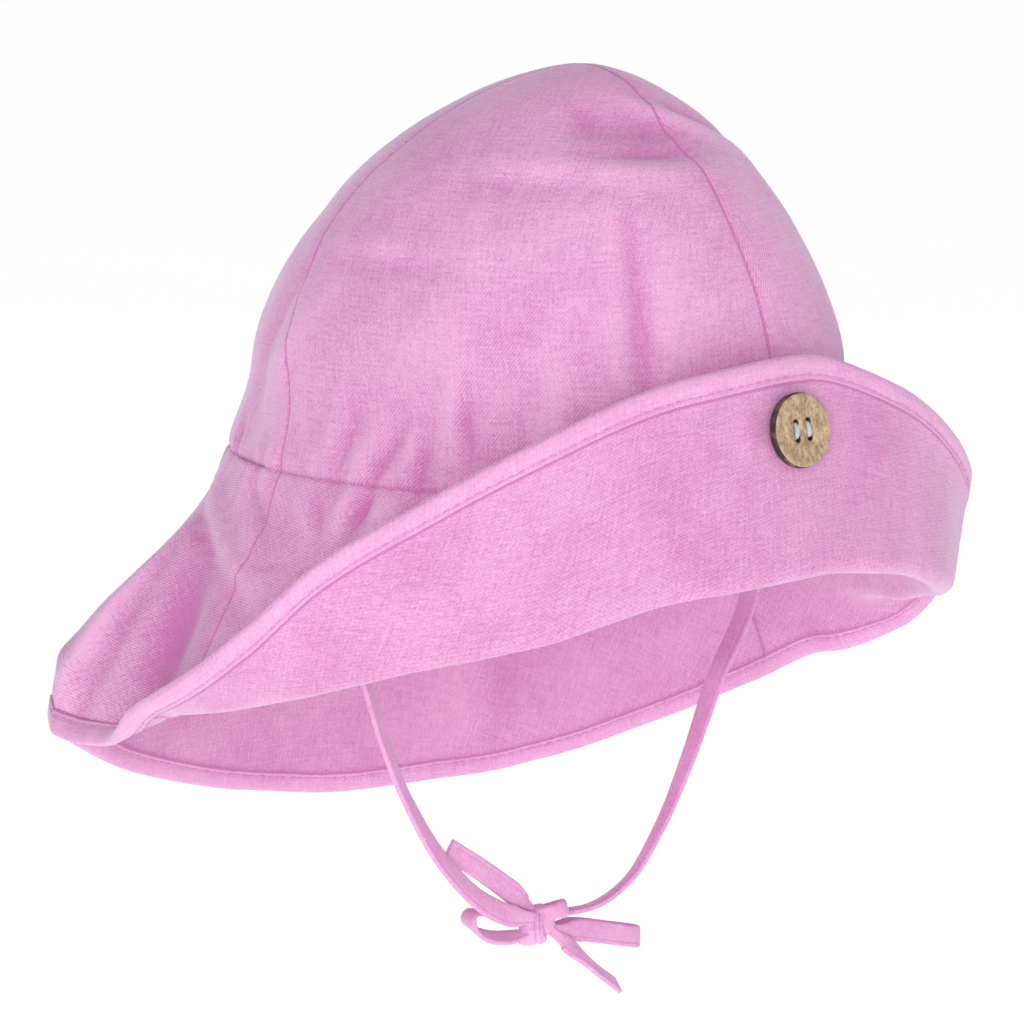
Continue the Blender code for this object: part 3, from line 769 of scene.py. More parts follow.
def fold_height(folds, angle, place):
    """Height of the listed folds at a place, in metres."""
    total = 0.0
    for fold in folds:
        off_place = (place - fold.place) / fold.half_place
        if abs(off_place) > FOLD_REACH:
            continue
        leaning = fold.angle + fold.lean * (place - fold.place)
        off_angle = short_way(angle - leaning) / fold.half_angle
        if abs(off_angle) < FOLD_REACH:
            total += fold.height * exp(-off_angle ** 2 - off_place ** 2)
    return total / 1000.0


@cache
def seam_normal(angle):
    """Outward direction at the seam between crown and brim, half way between the two cloths' normals."""
    return (crown_normal(angle, 0.0) + brim_frame(angle, 0.0).normal).normalized()


def raised(angle, normal, away, lift):
    """Move of the cloth by its lift and the flare of the crown's foot, alike on both sides of the seam."""
    upward = normal
    if away < SEAM_BLEND:
        upward = seam_normal(angle).lerp(normal, smooth_step(away / SEAM_BLEND)).normalized()
    return upward * lift + direction(angle) * (FLARE * bell(away, FLARE_REACH))


def fold_shade(lift, seam_away):
    """How much darker the cloth looks down in a fold and along a seam's line."""
    depth = -lift if lift < 0.0 else -lift * RIDGE_LIGHT
    return depth / FOLD_SHADE_DEPTH + SEAM_SHADE * bell(seam_away, SEAM_SHADE_WIDTH)


def unevenness(point):
    """Slight waves that every soft cloth has."""
    broad = noise.noise(point / BROAD_WAVE_SIZE)
    small = noise.noise(point / SMALL_WAVE_SIZE + Vector((7.0, 3.0, 5.0)))
    return broad * BROAD_WAVE_HEIGHT + small * SMALL_WAVE_HEIGHT


def seam_height(away):
    """Furrow of a seam and the ridge beside it, at a distance from it."""
    ridge = SEAM_RIDGE * bell(away - SEAM_RIDGE_PLACE, SEAM_RIDGE_WIDTH)
    return ridge - SEAM_FURROW * bell(away, SEAM_FURROW_WIDTH)


def gather_height(angle, radius, away):
    """Small gathers beside the seam between crown and brim, strongest over the ears."""
    place = radians(angle) * radius / GATHER_SIZE
    wave = noise.noise(Vector((place, 0.0, 1.0))) + 0.5 * noise.noise(Vector((2.3 * place, 4.0, 0.0)))
    height = GATHER_HEIGHT + GATHER_AT_EARS * sin(radians(angle)) ** 2
    return height * wave * exp(-away / GATHER_REACH)


def finished_piece(name, points, faces, weave, materials, looks=None, sharp=60.0, shades=None, merge=0.0):
    """One visible piece from points and faces, smooth and riding on the hat."""
    mesh = bpy.data.meshes.new(name)
    mesh.from_pydata([tuple(point) for point in points], [], faces)
    if looks:
        mesh.polygons.foreach_set("material_index", looks)
    spots = [value for loop in mesh.loops for value in weave[loop.vertex_index]]
    mesh.uv_layers.new(name="weave").data.foreach_set("uv", spots)
    shade = mesh.attributes.new("shade", "FLOAT", "POINT")
    shade.data.foreach_set("value", shades or [0.0] * len(points))
    shape = bmesh.new()
    shape.from_mesh(mesh)
    if merge:
        bmesh.ops.remove_doubles(shape, verts=shape.verts, dist=merge)
    bmesh.ops.recalc_face_normals(shape, faces=shape.faces)
    shape.to_mesh(mesh)
    shape.free()
    for material in materials:
        mesh.materials.append(material)
    mesh.shade_smooth()
    mesh.set_sharp_from_angle(angle=radians(sharp))
    piece = placed(name, mesh)
    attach(piece, "root")
    return piece


def cloth_piece(name, grid, materials):
    """Closed wall over a grid of spots, each its outer point, inner point, place in the weave and shade."""
    rows = len(grid)
    columns = len(grid[0])
    layer = rows * columns
    outer, inner, places, shades = zip(*(spot for row in grid for spot in row))
    faces = []
    for row in range(rows - 1):
        for first in range(row * columns, (row + 1) * columns - 1):
            quad = (first, first + 1, first + columns + 1, first + columns)
            faces += [quad, tuple(layer + corner for corner in reversed(quad))]
    looks = [0, 1] * (len(faces) // 2)
    border = list(range(columns))
    border += [row * columns + columns - 1 for row in range(1, rows)]
    border += [(rows - 1) * columns + column for column in range(columns - 2, -1, -1)]
    border += [row * columns for row in range(rows - 2, 0, -1)]
    for here, following in zip(border, border[1:] + border[:1]):
        faces.append((here, following, layer + following, layer + here))
    looks += [0] * len(border)
    piece = finished_piece(name + "_cloth", outer + inner, faces, places * 2, materials, looks,
                           shades=shades * 2)
    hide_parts(name)


def crown_spot(angle, climb, side_away, tuck):
    """Outer point, inner point and shade of the crown's cloth."""
    radius = crown_radius(angle, climb)
    point = crown_point(angle, climb)
    normal = crown_normal(angle, climb)
    brim_away = CROWN_HEIGHT * sin(climb * pi / 2)
    fade = min(radius / BROAD_WAVE_SIZE, 1.0)
    folds = fade * (fold_height(CROWN_FOLDS, angle, climb) + unevenness(point))
    folds += gather_height(angle, radius, brim_away)
    lift = folds + seam_height(side_away) * min(radius / SEAM_RIDGE_PLACE, 1.0) + seam_height(brim_away)
    lift -= WAIST * bell(brim_away - WAIST_PLACE, WAIST_REACH)
    outside = point + raised(angle, normal, brim_away, lift) - UPRIGHT * tuck
    shade = fold_shade(folds, side_away) + fold_shade(0.0, brim_away) * BRIM_SEAM_SHADE
    return outside, outside - normal * CROWN_CLOTH, shade


def crown_gore(name, first_seam, last_seam, materials):
    """One gore of the crown with its folds, seam furrows and weave."""
    hole_share = APEX_HOLE_RADIUS / 4 / (OPENING_WIDTH / 2)
    top = acos(hole_share ** (1.0 / CROWN_ROUNDNESS)) / (pi / 2)
    grid = []
    along = 0.0
    for climb in [0.0] + [top * share for share in close_to_ends(GORE_ROWS, NEAR_BRIM_SEAM, False)]:
        start = seam_angle(first_seam, climb)
        end = seam_angle(last_seam, climb)
        middle = (start + end) / 2
        here = crown_point(middle, climb)
        along += (here - previous).length if grid else 0.0
        previous = here
        row = []
        for share in close_to_ends(GORE_COLUMNS, NEAR_GORE_SEAM):
            angle = start + (end - start) * share
            radius = crown_radius(angle, climb)
            side_away = radians(min(angle - start, end - angle)) * radius
            outside, inside, shade = crown_spot(angle, climb, side_away, 0.0 if grid else SEAM_TUCK)
            row.append((outside, inside, (radians(angle - middle) * radius, along), shade))
        grid.append(row)
    cloth_piece(name, grid, materials)


def brim_lift(angle, run):
    """Height of the brim's folds, gathers and waves over its smooth shape, and how dark they look."""
    width = brim_width(angle)
    share = run / width
    radius = opening_radius(angle)
    below = smooth_step(run / FLARE_REACH)
    folds = fold_height(BRIM_FOLDS, angle, share) * below
    folds += fold_height(CROWN_FOLDS, angle, 0.0) * (1.0 - below)
    folds += unevenness(brim_point(angle, run)) + gather_height(angle, radius, run)
    edge_away = width - BINDING_WIDTH - run
    side_away = radians(abs(abs(short_way(angle)) - SIDE_SEAM_ANGLE)) * (radius + run * 0.5)
    lift = folds + seam_height(side_away) + seam_height(run)
    if edge_away > 0.0:
        lift -= EDGE_FURROW * bell(edge_away, EDGE_FURROW_WIDTH)
    shade = fold_shade(folds, min(side_away, max(edge_away, 0.0))) + fold_shade(0.0, run) * BRIM_SEAM_SHADE
    return lift, shade + fold_shade(crease_height(angle, share), 1.0) * CREASE_SHADE


def fine_brim_runs(angle):
    """Distances along the cloth of the visible brim's rows."""
    fold_start, fold_end = fold_ends(angle)
    band = brim_width(angle) - BINDING_WIDTH
    fold_end = min(fold_end, band + BINDING_TUCK - FOLD_SHORTEST / 4)
    near_seam = [CROWN_HEIGHT * share for share in NEAR_BRIM_SEAM]
    near_edge = [band - away for away in reversed(NEAR_EDGE)]
    last = near_edge[0] - (near_edge[0] - fold_end) / FLAP_ROWS
    runs = [0.0, *near_seam[:-1], *even_steps(near_seam[-1], fold_start, SLOPE_ROWS)]
    runs += even_steps(fold_start, fold_end, FOLD_ROWS) + even_steps(fold_end, last, FLAP_ROWS - 1)
    return runs + [last, *near_edge, band + BINDING_TUCK]


def flat_place(angle, run):
    """Where a point of the brim lies on the flat cut cloth."""
    turn = radians(angle) * FLAT_TURN
    reach = FLAT_RADIUS + run
    return (reach * sin(turn), reach * cos(turn))


def brim_panel(name, first_angle, last_angle, columns, near_seam, materials):
    """One panel of the brim with its folds, gathers and weave."""
    half = BRIM_CLOTH / 2
    grid = []
    for share in close_to_ends(columns, near_seam):
        angle = first_angle + (last_angle - first_angle) * share
        row = []
        for run in fine_brim_runs(angle):
            spot = brim_frame(angle, run)
            lift, shade = brim_lift(angle, run)
            middle = spot.place + raised(angle, spot.normal, run, lift)
            off = spot.normal * half
            row.append((middle + off, middle - off, flat_place(angle, run), shade))
        grid.append(row)
    cloth_piece(name, grid, materials)


def ring_points(middle, first_way, second_way, count):
    """Points round a middle, a ring about the two ways given."""
    return [middle + first_way * cosine + second_way * sine for cosine, sine in circle(count)]


def edge_angles(count):
    """Even angles round the brim, in degrees."""
    return even_steps(-180.0, 180.0, count)


def band_section():
    """The band's cross section: distance in from the edge, and height off the middle of the cloth."""
    half = BINDING_THICKNESS / 2
    outer = [
        (BINDING_WIDTH, BRIM_CLOTH / 2 - 0.0003),
        (BINDING_WIDTH - 0.0001, half - 0.0002),
        (BINDING_WIDTH - 0.0004, half),
        (STITCH_ROW + 0.0004, half - STITCH_GROOVE / 3),
        (STITCH_ROW, half - STITCH_GROOVE),
        (STITCH_ROW - 0.0004, half - STITCH_GROOVE / 3),
        (STITCH_ROW - 0.0012, half + 0.0001),
        (0.0018, half + 0.0001),
        (0.0009, half - 0.0001),
        (0.0003, half * 0.65),
        (0.0, half * 0.2),
    ]
    return [(edge, -off) for edge, off in outer] + outer[::-1]


def brim_binding(name, material):
    """The folded band round the brim's edge, with the groove that its stitches pull."""
    section = band_section()
    angles = edge_angles(FRONT_COLUMNS + BACK_COLUMNS)
    edge = [brim_point(angle, brim_width(angle)) for angle in angles]
    points, places, shades = [], [], []
    along = 0.0
    for place, angle in enumerate(angles):
        along += (edge[place] - edge[place - 1]).length if place else 0.0
        for inside_edge, off_cloth in section:
            run = brim_width(angle) - inside_edge
            spot = brim_frame(angle, run)
            side = copysign(1.0, off_cloth)
            ripple = RIPPLE * noise.noise(Vector((along / STITCH_PITCH, inside_edge / RIPPLE_SIZE, 2.0)))
            points.append(spot.place + spot.normal * (off_cloth + side * ripple + brim_lift(angle, run)[0]))
            places.append((along, inside_edge * side))
            # Painted shade along the stitch row's groove and at the band's inner edge
            shades.append(STITCH_SHADE * bell(inside_edge - STITCH_ROW, SEAM_SHADE_WIDTH)
                          + SEAM_SHADE * bell(BINDING_WIDTH - inside_edge, SEAM_SHADE_WIDTH / 2))
    count = len(section)
    faces = tube_faces(len(angles), count, closed=True)
    piece = finished_piece(name + "_cloth", points, faces, places, [material], shades=shades)
    along += (edge[0] - edge[-1]).length
    layer = piece.data.uv_layers["weave"]
    for face in piece.data.polygons:
        if max(face.vertices) >= len(points) - count and min(face.vertices) < count:
            for loop, corner in zip(face.loop_indices, face.vertices):
                if corner < count:
                    layer.data[loop].uv.x += along
    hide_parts(name)


def even_edge_angles(pitch):
    """Angles round the brim at even distances along its edge."""
    fine = edge_angles(1440)
    spots = [brim_point(angle, brim_width(angle) - STITCH_ROW) for angle in fine]
    found = []
    travelled = 0.0
    for before, here, angle in zip(spots, spots[1:], fine[1:]):
        travelled += (here - before).length
        if travelled >= pitch:
            found.append(angle)
            travelled -= pitch
    return found


def stitch_rows(name, material):
    """Short sewn stitches on both faces of the binding."""
    half = BINDING_THICKNESS / 2 - STITCH_GROOVE + STITCH_RADIUS * 0.35
    points, faces = [], []
    for angle in even_edge_angles(STITCH_PITCH):
        run = brim_width(angle) - STITCH_ROW
        spot = brim_frame(angle, run)
        lift = brim_lift(angle, run)[0]
        for side in (-1.0, 1.0):
            middle = spot.place + spot.normal * (lift + side * half)
            faces += tube_faces(len(STITCH_RINGS), STITCH_SIDES, first=len(points))
            for reach, girth in STITCH_RINGS:
                radius = girth * STITCH_RADIUS
                ring = middle + spot.across * (reach * STITCH_LENGTH / 2)
                points += ring_points(ring, spot.along * radius, spot.normal * radius, STITCH_SIDES)
    places = [(point.x + point.z, point.y) for point in points]
    finished_piece(name, points, faces, places, [material], merge=STITCH_RADIUS / 50)


def into_knot(middle, wide, thick, onward):
    """Frames that carry a tape's end on into the knot, drawn together."""
    centre = Vector(KNOT_PLACE)
    frames = []
    for share in (0.2, 0.45, 0.7):
        inward = middle.lerp(centre, share * 0.9)
        inward.x = middle.x + (centre.x - middle.x) * share
        frames.append((inward, wide * (1.0 - 0.25 * share), thick))
    return frames if onward else frames[::-1]


def tape_frames(route, lying, square_start, square_end):
    """Places, widths and thicknesses of a tape along its route."""
    places = route_places(route, TAPE_STEP)
    last = len(places) - 1
    frames = []
    for place, (x, y, z, twist) in enumerate(places):
        before = Vector(places[max(place - 1, 0)][:3])
        after = Vector(places[min(place + 1, last)][:3])
        along = (after - before).normalized()
        if (square_start and place == 0) or (square_end and place == last):
            along = Vector((copysign(1.0, along.x), 0.0, 0.0))
        flat = (lying - along * lying.dot(along)).normalized()
        turn = radians(twist)
        wide = flat * cos(turn) + along.cross(flat) * sin(turn)
        frames.append((Vector((x, y, z)), wide, along.cross(wide)))
    if square_start:
        frames = into_knot(*frames[0], False) + frames
    if square_end:
        frames += into_knot(*frames[-1], True)
    return frames


def tape(name, route, material, lying=FORE_AND_AFT, square_start=False, square_end=False):
    """A folded cloth tape with a sewn line near one edge."""
    half_width = TIE_WIDTH / 2
    half = TIE_THICKNESS / 2
    section = [*TAPE_SECTION, *((across, -up) for across, up in reversed(TAPE_SECTION))]
    frames = tape_frames(route, lying, square_start, square_end)
    points, places = [], []
    run = 0.0
    for place, (middle, wide, thick) in enumerate(frames):
        run += (middle - frames[place - 1][0]).length if place else 0.0
        wander = noise.noise(Vector((run / TAPE_WANDER_SIZE, 0.3 * half_width, 1.7)))
        near_knot = smooth_step(((middle - Vector(KNOT_PLACE)).length - 0.0050) / 0.0070)
        width_here = half_width * (1.0 + 0.05 * wander) * (0.55 + 0.45 * near_knot)
        for across, up in section:
            bow = half * 0.35 * wander * (1.0 - across * across)
            points.append(middle + wide * (across * width_here) + thick * (up * half + bow))
            places.append((run, across * width_here))
    count = len(section)
    faces = end_faces(len(frames), count) + tube_faces(len(frames), count)
    piece = finished_piece(name + "_cloth", points, faces, places, [material])
    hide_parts(name)
    return piece, [tuple(middle) for middle, wide, thick in frames], run


def knot_wrap(name, centre, axis, rise, radii, width, groove, material):
    """One turn of tape round the knot: an oval band about an axis, with its grooves as deep as asked."""
    axis = axis.normalized()
    rise = (rise - axis * rise.dot(axis)).normalized()
    fore = axis.cross(rise)
    section = [
        (-1.0, -0.3), (-0.93, 0.3), (-0.75, 0.75), (-0.45, 1.0), (-0.05, 1.1), (0.20, 1.0),
        (0.30, groove), (0.40, 1.0), (0.55, 1.05), (0.66, 0.95), (0.72, min(groove, 0.85)),
        (0.80, 0.75), (0.93, 0.4), (1.0, -0.3), (0.9, -0.8), (-0.9, -0.8),
    ]
    points, places = [], []
    for side, (cosine, sine) in enumerate(circle(RING_SIDES)):
        outward = fore * (cosine * radii[0]) + rise * (sine * radii[1])
        bumps = noise.noise(Vector((cosine * 2, sine * 2, 0.5)))
        squeeze = 1.0 - 0.10 * (cosine ** 2 - sine ** 2) + 0.06 * bumps
        for across, up in section:
            reach = 1.0 + up * TIE_THICKNESS / 2 / outward.length
            points.append(centre + outward * reach + axis * (across * width / 2 * squeeze))
            places.append((2 * pi * side / RING_SIDES * radii[0], across * width / 2))
    faces = tube_faces(RING_SIDES, len(section), closed=True)
    return finished_piece(name, points, faces, places, [material])


def knot_core(name, centre, radii, material):
    """The bunched cloth inside the knot's wraps."""
    shape = bmesh.new()
    bmesh.ops.create_icosphere(shape, subdivisions=4, radius=1.0)
    for vertex in shape.verts:
        bump = 1.0 + 0.05 * noise.noise(vertex.co * 2.5)
        vertex.co = vertex.co * Vector(radii) * bump + centre
    points, faces = points_and_faces(shape)
    return finished_piece(name, points, faces, [(point.x, point.z) for point in points], [material])


def button_placing():
    """The button's place on the turned-up front, as its solid has it."""
    run = brim_width(BUTTON_ANGLE) - BUTTON_BELOW_EDGE
    spot = brim_frame(BUTTON_ANGLE, run)
    facing = -spot.normal
    seat = spot.place + facing * (BRIM_CLOTH / 2 + GAP)
    turning = Matrix((spot.across, facing.cross(spot.across), facing)).transposed().to_4x4()
    return Matrix.Translation(seat) @ turning


def button_profile():
    """The button's outline: distance in from its widest radius, and height, from below up to the dish."""
    thick = BUTTON_THICKNESS
    edge = BUTTON_EDGE_ROUND
    rim = BUTTON_RIM_WIDTH
    lip = BUTTON_RIM_HEIGHT
    return [
        (2.4 * edge, 0.0), (0.9 * edge, 0.4 * edge), (0.25 * edge, edge), (0.0, thick / 2),
        (0.1 * edge, thick - 1.3 * edge), (0.35 * edge, thick - 0.55 * edge),
        (0.9 * edge, thick - 0.1 * edge), (1.5 * edge, thick), (1.2 * rim, thick - 0.2 * lip),
        (1.7 * rim, thick - 0.85 * lip), (2.2 * rim, thick - lip),
    ]


def button_piece(name, materials):
    """The button, turned from coconut shell, with four thread holes."""
    profile = button_profile()
    count = BUTTON_FINE_SIDES
    points = []
    for inset, height in profile:
        for cosine, sine in circle(count):
            uneven = 1.0 + 0.008 * noise.noise(Vector((cosine * 1.5, sine * 1.5, 0.0)))
            reach = (BUTTON_DIAMETER / 2 - inset) * uneven
            points.append(Vector((reach * cosine, reach * sine, height)))
    faces = end_faces(len(profile), count) + tube_faces(len(profile), count)
    dark = BUTTON_DARK_RINGS * count
    looks = [1, 0] + [1] * dark + [0] * (len(faces) - 2 - dark)
    places = [(point.x, point.y) for point in points]
    piece = finished_piece(name + "_shell", points, faces, places, materials, looks, sharp=40.0)
    cut_holes(piece)
    piece.data.transform(button_placing())
    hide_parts(name)


def hole_cones(sides, low_radius, high_radius, depth, level):
    """A cone at each of the button's four thread holes."""
    shape = bmesh.new()
    half = HOLE_SPACING / 2
    for across, up in ((-half, -half), (-half, half), (half, -half), (half, half)):
        bmesh.ops.create_cone(shape, cap_ends=True, segments=sides, radius1=low_radius, radius2=high_radius,
                              depth=depth, matrix=Matrix.Translation((across, up, level)))
    return shape


def cut_holes(piece):
    """Cut the four thread holes through the button and keep the result as its mesh."""
    radius = HOLE_DIAMETER / 2
    mesh = mesh_of("thread_holes", hole_cones(24, radius, radius, 3 * BUTTON_THICKNESS, 0.0))
    # The hole walls take the button's dark side material as painted shade down the holes
    mesh.materials.append(piece.data.materials[1])
    cutter = placed("thread_holes", mesh)
    cut = piece.modifiers.new("holes", "BOOLEAN")
    cut.operation = "DIFFERENCE"
    cut.solver = "EXACT"
    cut.object = cutter
    graph = bpy.context.evaluated_depsgraph_get()
    result = bpy.data.meshes.new_from_object(piece.evaluated_get(graph), depsgraph=graph)
    piece.modifiers.clear()
    piece.data = result
    bpy.data.objects.remove(cutter, do_unlink=True)


def hole_shades(name, material):
    """Dark plugs in the husk's colour that fill the depth of the button's holes: thread ends, and painted
    shade down the holes.
    """
    thick = BUTTON_THICKNESS
    cones = hole_cones(16, HOLE_DIAMETER * 0.49, HOLE_DIAMETER * 0.42, thick * 0.4, thick * 0.3)
    points, faces = points_and_faces(cones)
    piece = finished_piece(name, points, faces, [(point.x, point.y) for point in points], [material])
    piece.data.transform(button_placing())


def thread_points(middles):
    """Points of a round thread along a few middles, ring after ring."""
    points = []
    level = Vector((1.0, 0.0, 0.0))
    last = len(middles) - 1
    for place, middle in enumerate(middles):
        along = (middles[min(place + 1, last)] - middles[max(place - 1, 0)]).normalized()
        rise = along.cross(level).normalized()
        points += ring_points(middle, level * THREAD_RADIUS, rise * THREAD_RADIUS, THREAD_SIDES)
    return points


def button_thread(name, material):
    """Two bundles of thread, each through an upper and a lower hole."""
    start = BUTTON_THICKNESS - BUTTON_RIM_HEIGHT - THREAD_DEPTH
    points, faces = [], []
    for side in (-1, 1):
        for strand in (-1, 0, 1):
            across = side * HOLE_SPACING / 2 + strand * THREAD_SPACING
            arch = THREAD_ARCH + THREAD_CROWN * (1 - abs(strand))
            middles = []
            for step in range(THREAD_STEPS + 1):
                share = step / THREAD_STEPS
                height = start + sin(pi * share) ** 0.35 * arch
                bowed = across * (1.0 - 0.05 * cos(pi * share))
                middles.append(Vector((bowed, (share - 0.5) * HOLE_SPACING, height)))
            faces += tube_faces(len(middles), THREAD_SIDES, first=len(points))
            faces += end_faces(len(middles), THREAD_SIDES, first=len(points))
            points += thread_points(middles)
    places = [(point.y, point.x) for point in points]
    piece = finished_piece(name, points, faces, places, [material])
    piece.data.transform(button_placing())


class Nodes:
    """A material's node tree, with short calls for the nodes used here."""

    def __init__(self, name):
        self.material = bpy.data.materials.new(name)
        self.material.use_nodes = True
        self.nodes = self.material.node_tree.nodes
        self.shader = self.nodes["Principled BSDF"]

    def feed(self, socket, value):
        """Link a socket to another one, or give it a number, vector or colour."""
        if isinstance(value, bpy.types.NodeSocket):
            self.material.node_tree.links.new(value, socket)
        else:
            socket.default_value = value

    def node(self, kind, **inputs):
        """A new node with its named inputs fed."""
        made = self.nodes.new("ShaderNode" + kind)
        for name, value in inputs.items():
            self.feed(made.inputs[name], value)
        return made

    def math(self, kind, *values):
        """A sum, product or other plain calculation."""
        made = self.node("Math")
        made.operation = kind
        for socket, value in zip(made.inputs, values):
            self.feed(socket, value)
        return made.outputs[0]

    def weighted(self, *terms, plus=0.0):
        """A plain number and values, each times its weight, added up."""
        total = plus
        for value, weight in terms:
            total = self.math("ADD", self.math("MULTIPLY", value, weight), total)
        return total

    def spot(self):
        """Place in the weave: as a vector, across and along."""
        made = self.node("UVMap")
        made.uv_map = "weave"
        split = self.node("SeparateXYZ", Vector=made.outputs[0])
        return made.outputs[0], split.outputs[0], split.outputs[1]

    def place(self):
        """Place on the object."""
        return self.node("TexCoord").outputs["Object"]

    def shade(self):
        """How dark the cloth looks in its folds and seams."""
        made = self.node("Attribute")
        made.attribute_name = "shade"
        return made.outputs["Fac"]

    def noise(self, vector, scale, detail=2.0, stretch=None):
        """Soft noise, finer along the axes where it is stretched more."""
        if stretch:
            vector = self.node("Mapping", Vector=vector, Scale=stretch).outputs[0]
        return self.node("TexNoise", Vector=vector, Scale=scale, Detail=detail).outputs["Fac"]

    def ramp(self, value, low, high, low_colour, high_colour):
        """Colour that goes from one to another between two values."""
        made = self.node("ValToRGB", Fac=value)
        ends = zip(made.color_ramp.elements, (low, high), (low_colour, high_colour))
        for element, position, colour in ends:
            element.position = position
            element.color = colour
        return made.outputs[0]

    def bump(self, height, distance, strength):
        """Fine relief."""
        made = self.node("Bump", Height=height, Distance=distance, Strength=strength)
        self.feed(self.shader.inputs["Normal"], made.outputs[0])

    def finish(self, colour, settings):
        """Give the shader its colour and plain settings, and hand back the material."""
        for name, value in {"Base Color": colour, **settings}.items():
            self.feed(self.shader.inputs[name], value)
        return self.material


def woven(name, light, dark, pitch, twill, turn=0.0, contrast=1.0):
    """Woven cotton: twill lines or a plain weave, uneven yarns and a soft fuzz."""
    made = Nodes(name)
    vector, across, along = made.spot()
    if turn:
        cosine = cos(radians(turn))
        sine = sin(radians(turn))
        turned = made.weighted((across, cosine), (along, -sine))
        along = made.weighted((across, sine), (along, cosine))
        across = turned
    per_metre = 2 * pi / pitch
    wobble = made.weighted((made.noise(vector, 420.0, 3.0), 5.0), plus=-2.5)
    warp = made.math("SINE", made.weighted((across, per_metre), (wobble, 1.0)))
    if twill:
        sloping = made.weighted((across, per_metre * 0.78), (along, per_metre * 0.62), (wobble, 1.0))
        lines = ((made.math("SINE", sloping), 0.36), (warp, 0.09))
    else:
        weft = made.math("SINE", made.weighted((along, per_metre), (wobble, -1.0)))
        lines = ((made.math("MULTIPLY", warp, weft), 0.324), (weft, 0.126))
    weave = made.weighted(*lines, plus=0.5)
    yarn_across = made.noise(vector, 1.0, 2.0, (150.0, 1500.0, 1.0))
    yarn_along = made.noise(vector, 1.0, 2.0, (1500.0, 150.0, 1.0))
    grain = made.noise(vector, 1500.0, 3.0)
    height = made.weighted((weave, 0.32), (yarn_across, 0.30), (yarn_along, 0.30), (grain, 0.58))
    fine = made.weighted((height, 1.25 * contrast), plus=-0.9375 * contrast)
    cloud = made.noise(made.place(), 70.0, 6.0)
    # The shade attribute paints shade into folds and seams and a painted highlight onto ridges
    tone = made.weighted((fine, 1.0), (cloud, 0.40), (made.shade(), -0.5), plus=0.345)
    made.bump(height, 0.00016, 0.75)
    return made.finish(made.ramp(tone, 0.20, 0.80, dark, light), {
        "Roughness": 0.88, "Specular IOR Level": 0.22, "Sheen Weight": 0.55, "Sheen Roughness": 0.42,
        "Sheen Tint": (0.86, 0.86, 0.98, 1.0),
    })


def shell_face(name):
    """Sanded coconut shell: tan with darker fibres, pores and specks."""
    made = Nodes(name)
    vector = made.spot()[0]
    fibres = made.noise(vector, 1.0, 6.0, (1150.0, 330.0, 1.0))
    patches = made.noise(vector, 300.0, 6.0)
    tone = made.weighted((fibres, 0.5), (patches, 0.5))
    colour = made.ramp(tone, 0.34, 0.62, SHELL_DARK, SHELL_LIGHT)
    specks = made.ramp(made.noise(vector, 1300.0, 3.0), 0.36, 0.44, SHELL_DARK, WHITE)
    mix = made.node("Mix")
    mix.data_type = "RGBA"
    mix.blend_type = "MULTIPLY"
    for socket, value in ((0, 0.55), (6, colour), (7, specks)):
        made.feed(mix.inputs[socket], value)
    made.bump(tone, 0.0003, 0.5)
    return made.finish(mix.outputs[2], {"Roughness": 0.55})


def shell_side(name):
    """The button's side, where the shell's dark skin shows."""
    made = Nodes(name)
    patches = made.noise(made.place(), 330.0, 3.0)
    made.bump(patches, 0.0003, 0.5)
    return made.finish(made.ramp(patches, 0.47, 0.80, HUSK_DARK, SHELL_DARK), {"Roughness": 0.6})


def thread_material(name, light, dark, pitch):
    """Twisted sewing thread."""
    made = Nodes(name)
    vector, across, along = made.spot()
    per_metre = 2 * pi / pitch
    sloping = made.weighted((across, per_metre), (along, per_metre * 1.6))
    twist = made.weighted((made.math("SINE", sloping), 0.4), plus=0.5)
    tone = made.weighted((twist, 0.7), (made.noise(vector, 2600.0), 0.3))
    made.bump(twist, 0.0001, 0.6)
    return made.finish(made.ramp(tone, 0.1, 0.9, dark, light), {"Roughness": 0.7, "Sheen Weight": 0.15})


def floor_material(name):
    """Plain pale floor."""
    made = Nodes(name)
    mottle = made.noise(made.place(), 3.0, 3.0)
    return made.finish(made.ramp(mottle, 0.3, 0.7, FLOOR_DARK, FLOOR_LIGHT), {
        "Roughness": 0.9, "Specular IOR Level": 0.1,
        "Emission Color": WHITE, "Emission Strength": FLOOR_GLOW,
    })


def add_floor():
    """A wide pale floor below the hat."""
    shape = bmesh.new()
    bmesh.ops.create_grid(shape, x_segments=8, y_segments=8, size=FLOOR_SIZE)
    bmesh.ops.translate(shape, vec=(0.0, 0.0, CAD_BOX[0][2] - FLOOR_BELOW), verts=shape.verts)
    mesh = mesh_of("floor", shape)
    mesh.materials.append(floor_material("floor_pale"))
    placed("floor", mesh)


def add_light(name, azimuth, elevation, distance, size, energy):
    """A large soft lamp that looks at the hat."""
    lamp = bpy.data.lights.new(name, "AREA")
    lamp.size = size
    lamp.energy = energy
    away = view_axes(azimuth, elevation)[2]
    placing = away.to_track_quat("Z", "Y").to_matrix().to_4x4()
    placing.translation = away * distance
    placed(name, lamp).matrix_world = placing


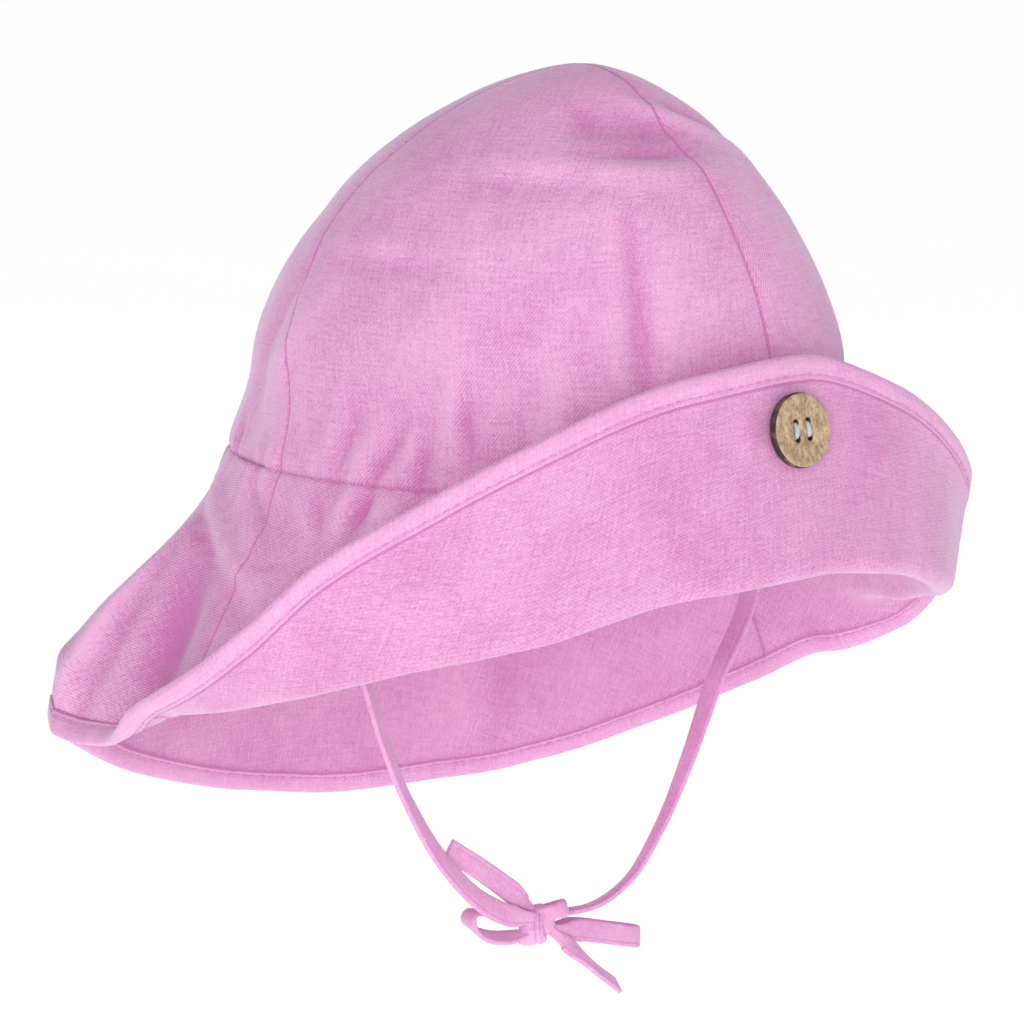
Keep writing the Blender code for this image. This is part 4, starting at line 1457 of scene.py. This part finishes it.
def add_lights():
    """Plain soft studio light, mostly from the camera's side, over a white background."""
    world = bpy.data.worlds.new("studio")
    world.use_nodes = True
    tree = world.node_tree
    glow = tree.nodes["Background"]
    seen = tree.nodes.new("ShaderNodeBackground")
    rays = tree.nodes.new("ShaderNodeLightPath")
    blend = tree.nodes.new("ShaderNodeMixShader")
    for background, strength in ((glow, WORLD_LIGHT), (seen, 1.0)):
        background.inputs[0].default_value = WHITE
        background.inputs[1].default_value = strength
    for place, source in enumerate((rays.outputs["Is Camera Ray"], glow.outputs[0], seen.outputs[0])):
        tree.links.new(source, blend.inputs[place])
    tree.links.new(blend.outputs[0], tree.nodes["World Output"].inputs["Surface"])
    bpy.context.scene.world = world
    add_light("front_lamp", -50.0, 10.0, 1.8, 0.8, FRONT_POWER)
    add_light("right_lamp", 25.0, 30.0, 2.0, 1.2, RIGHT_POWER)
    add_light("floor_lamp", -45.0, -14.0, 1.6, 1.0, LOW_POWER)


def add_bow(ribbon):
    """Both ties with the bow that they are tied in."""
    right, right_path, right_length = tape("tie_right", TIE_RIGHT_ROUTE, ribbon, square_end=True)
    left, left_path, left_length = tape("tie_left", TIE_LEFT_ROUTE, ribbon, square_end=True)
    loop_right = tape("bow_loop_right", LOOP_RIGHT_ROUTE, ribbon, FORE_AND_AFT, True, True)[0]
    loop_left = tape("bow_loop_left", LOOP_LEFT_ROUTE, ribbon, UPRIGHT, True, True)[0]
    tail_right = tape("bow_tail_right", TAIL_RIGHT_ROUTE, ribbon, square_start=True)[0]
    tail_left = tape("bow_tail_left", TAIL_LEFT_ROUTE, ribbon, square_start=True)[0]
    knot = Vector(KNOT_PLACE)
    across, up, backward = view_axes(CAMERA_AZIMUTH, CAMERA_ELEVATION)
    core = knot_core("bow_knot_core", knot, KNOT_CORE_RADII, ribbon)
    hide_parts("bow_knot")
    low = knot - across * 0.0022 - up * 0.0012
    high = knot + across * 0.0022 + up * 0.0021 - backward * 0.0004
    wrap_low = knot_wrap("bow_knot_wrap", low, across + up * 0.10, up,
                         LOW_WRAP_RADII, LOW_WRAP_WIDTH, LOW_WRAP_GROOVE, ribbon)
    wrap_high = knot_wrap("bow_knot_cross", high, up - across * 0.26, across,
                          HIGH_WRAP_RADII, HIGH_WRAP_WIDTH, HIGH_WRAP_GROOVE, ribbon)


def add_button():
    """The button, with the thread that holds it."""
    husk = shell_side("coconut_side")
    button_piece("button", [shell_face("coconut_face"), husk])
    # The husk's dark material also paints shade into the button's holes
    hole_shades("button_hole_shades", husk)
    button_thread("button_thread", thread_material("thread_grey", THREAD_LIGHT, THREAD_DARK, 0.0005))


def dress():
    """Build every visible piece over the frame."""
    cloths = [woven("cloth_twill", CLOTH_LIGHT, CLOTH_DARK, 0.00062, True, 0.0, 1.1),
              woven("cloth_plain", LINING_LIGHT, LINING_DARK, 0.00080, False, 12.0, 1.25)]
    add_bow(woven("cloth_tie", BAND_LIGHT, BAND_DARK, 0.00056, False, 0.0, 0.9))
    crown_gore("crown_right", "front", "right", cloths)
    crown_gore("crown_back", "right", "left", cloths)
    crown_gore("crown_left", "left", "front_again", cloths)
    side = SIDE_SEAM_ANGLE
    brim_panel("brim_front", -side, side, FRONT_COLUMNS, NEAR_FRONT_SEAM, cloths)
    brim_panel("brim_back", side, 360.0 - side, BACK_COLUMNS, NEAR_BACK_SEAM, cloths)
    brim_binding("brim_binding", woven("cloth_band", BAND_LIGHT, BAND_DARK, 0.00070, False, 45.0, 1.0))
    stitch_rows("binding_stitches", thread_material("thread_pink", STITCH_COLOUR, CLOTH_DARK, 0.0006))
    add_button()


add_camera()
dress()
add_floor()
add_lights()
bpy.context.scene.view_settings.view_transform = "Standard"
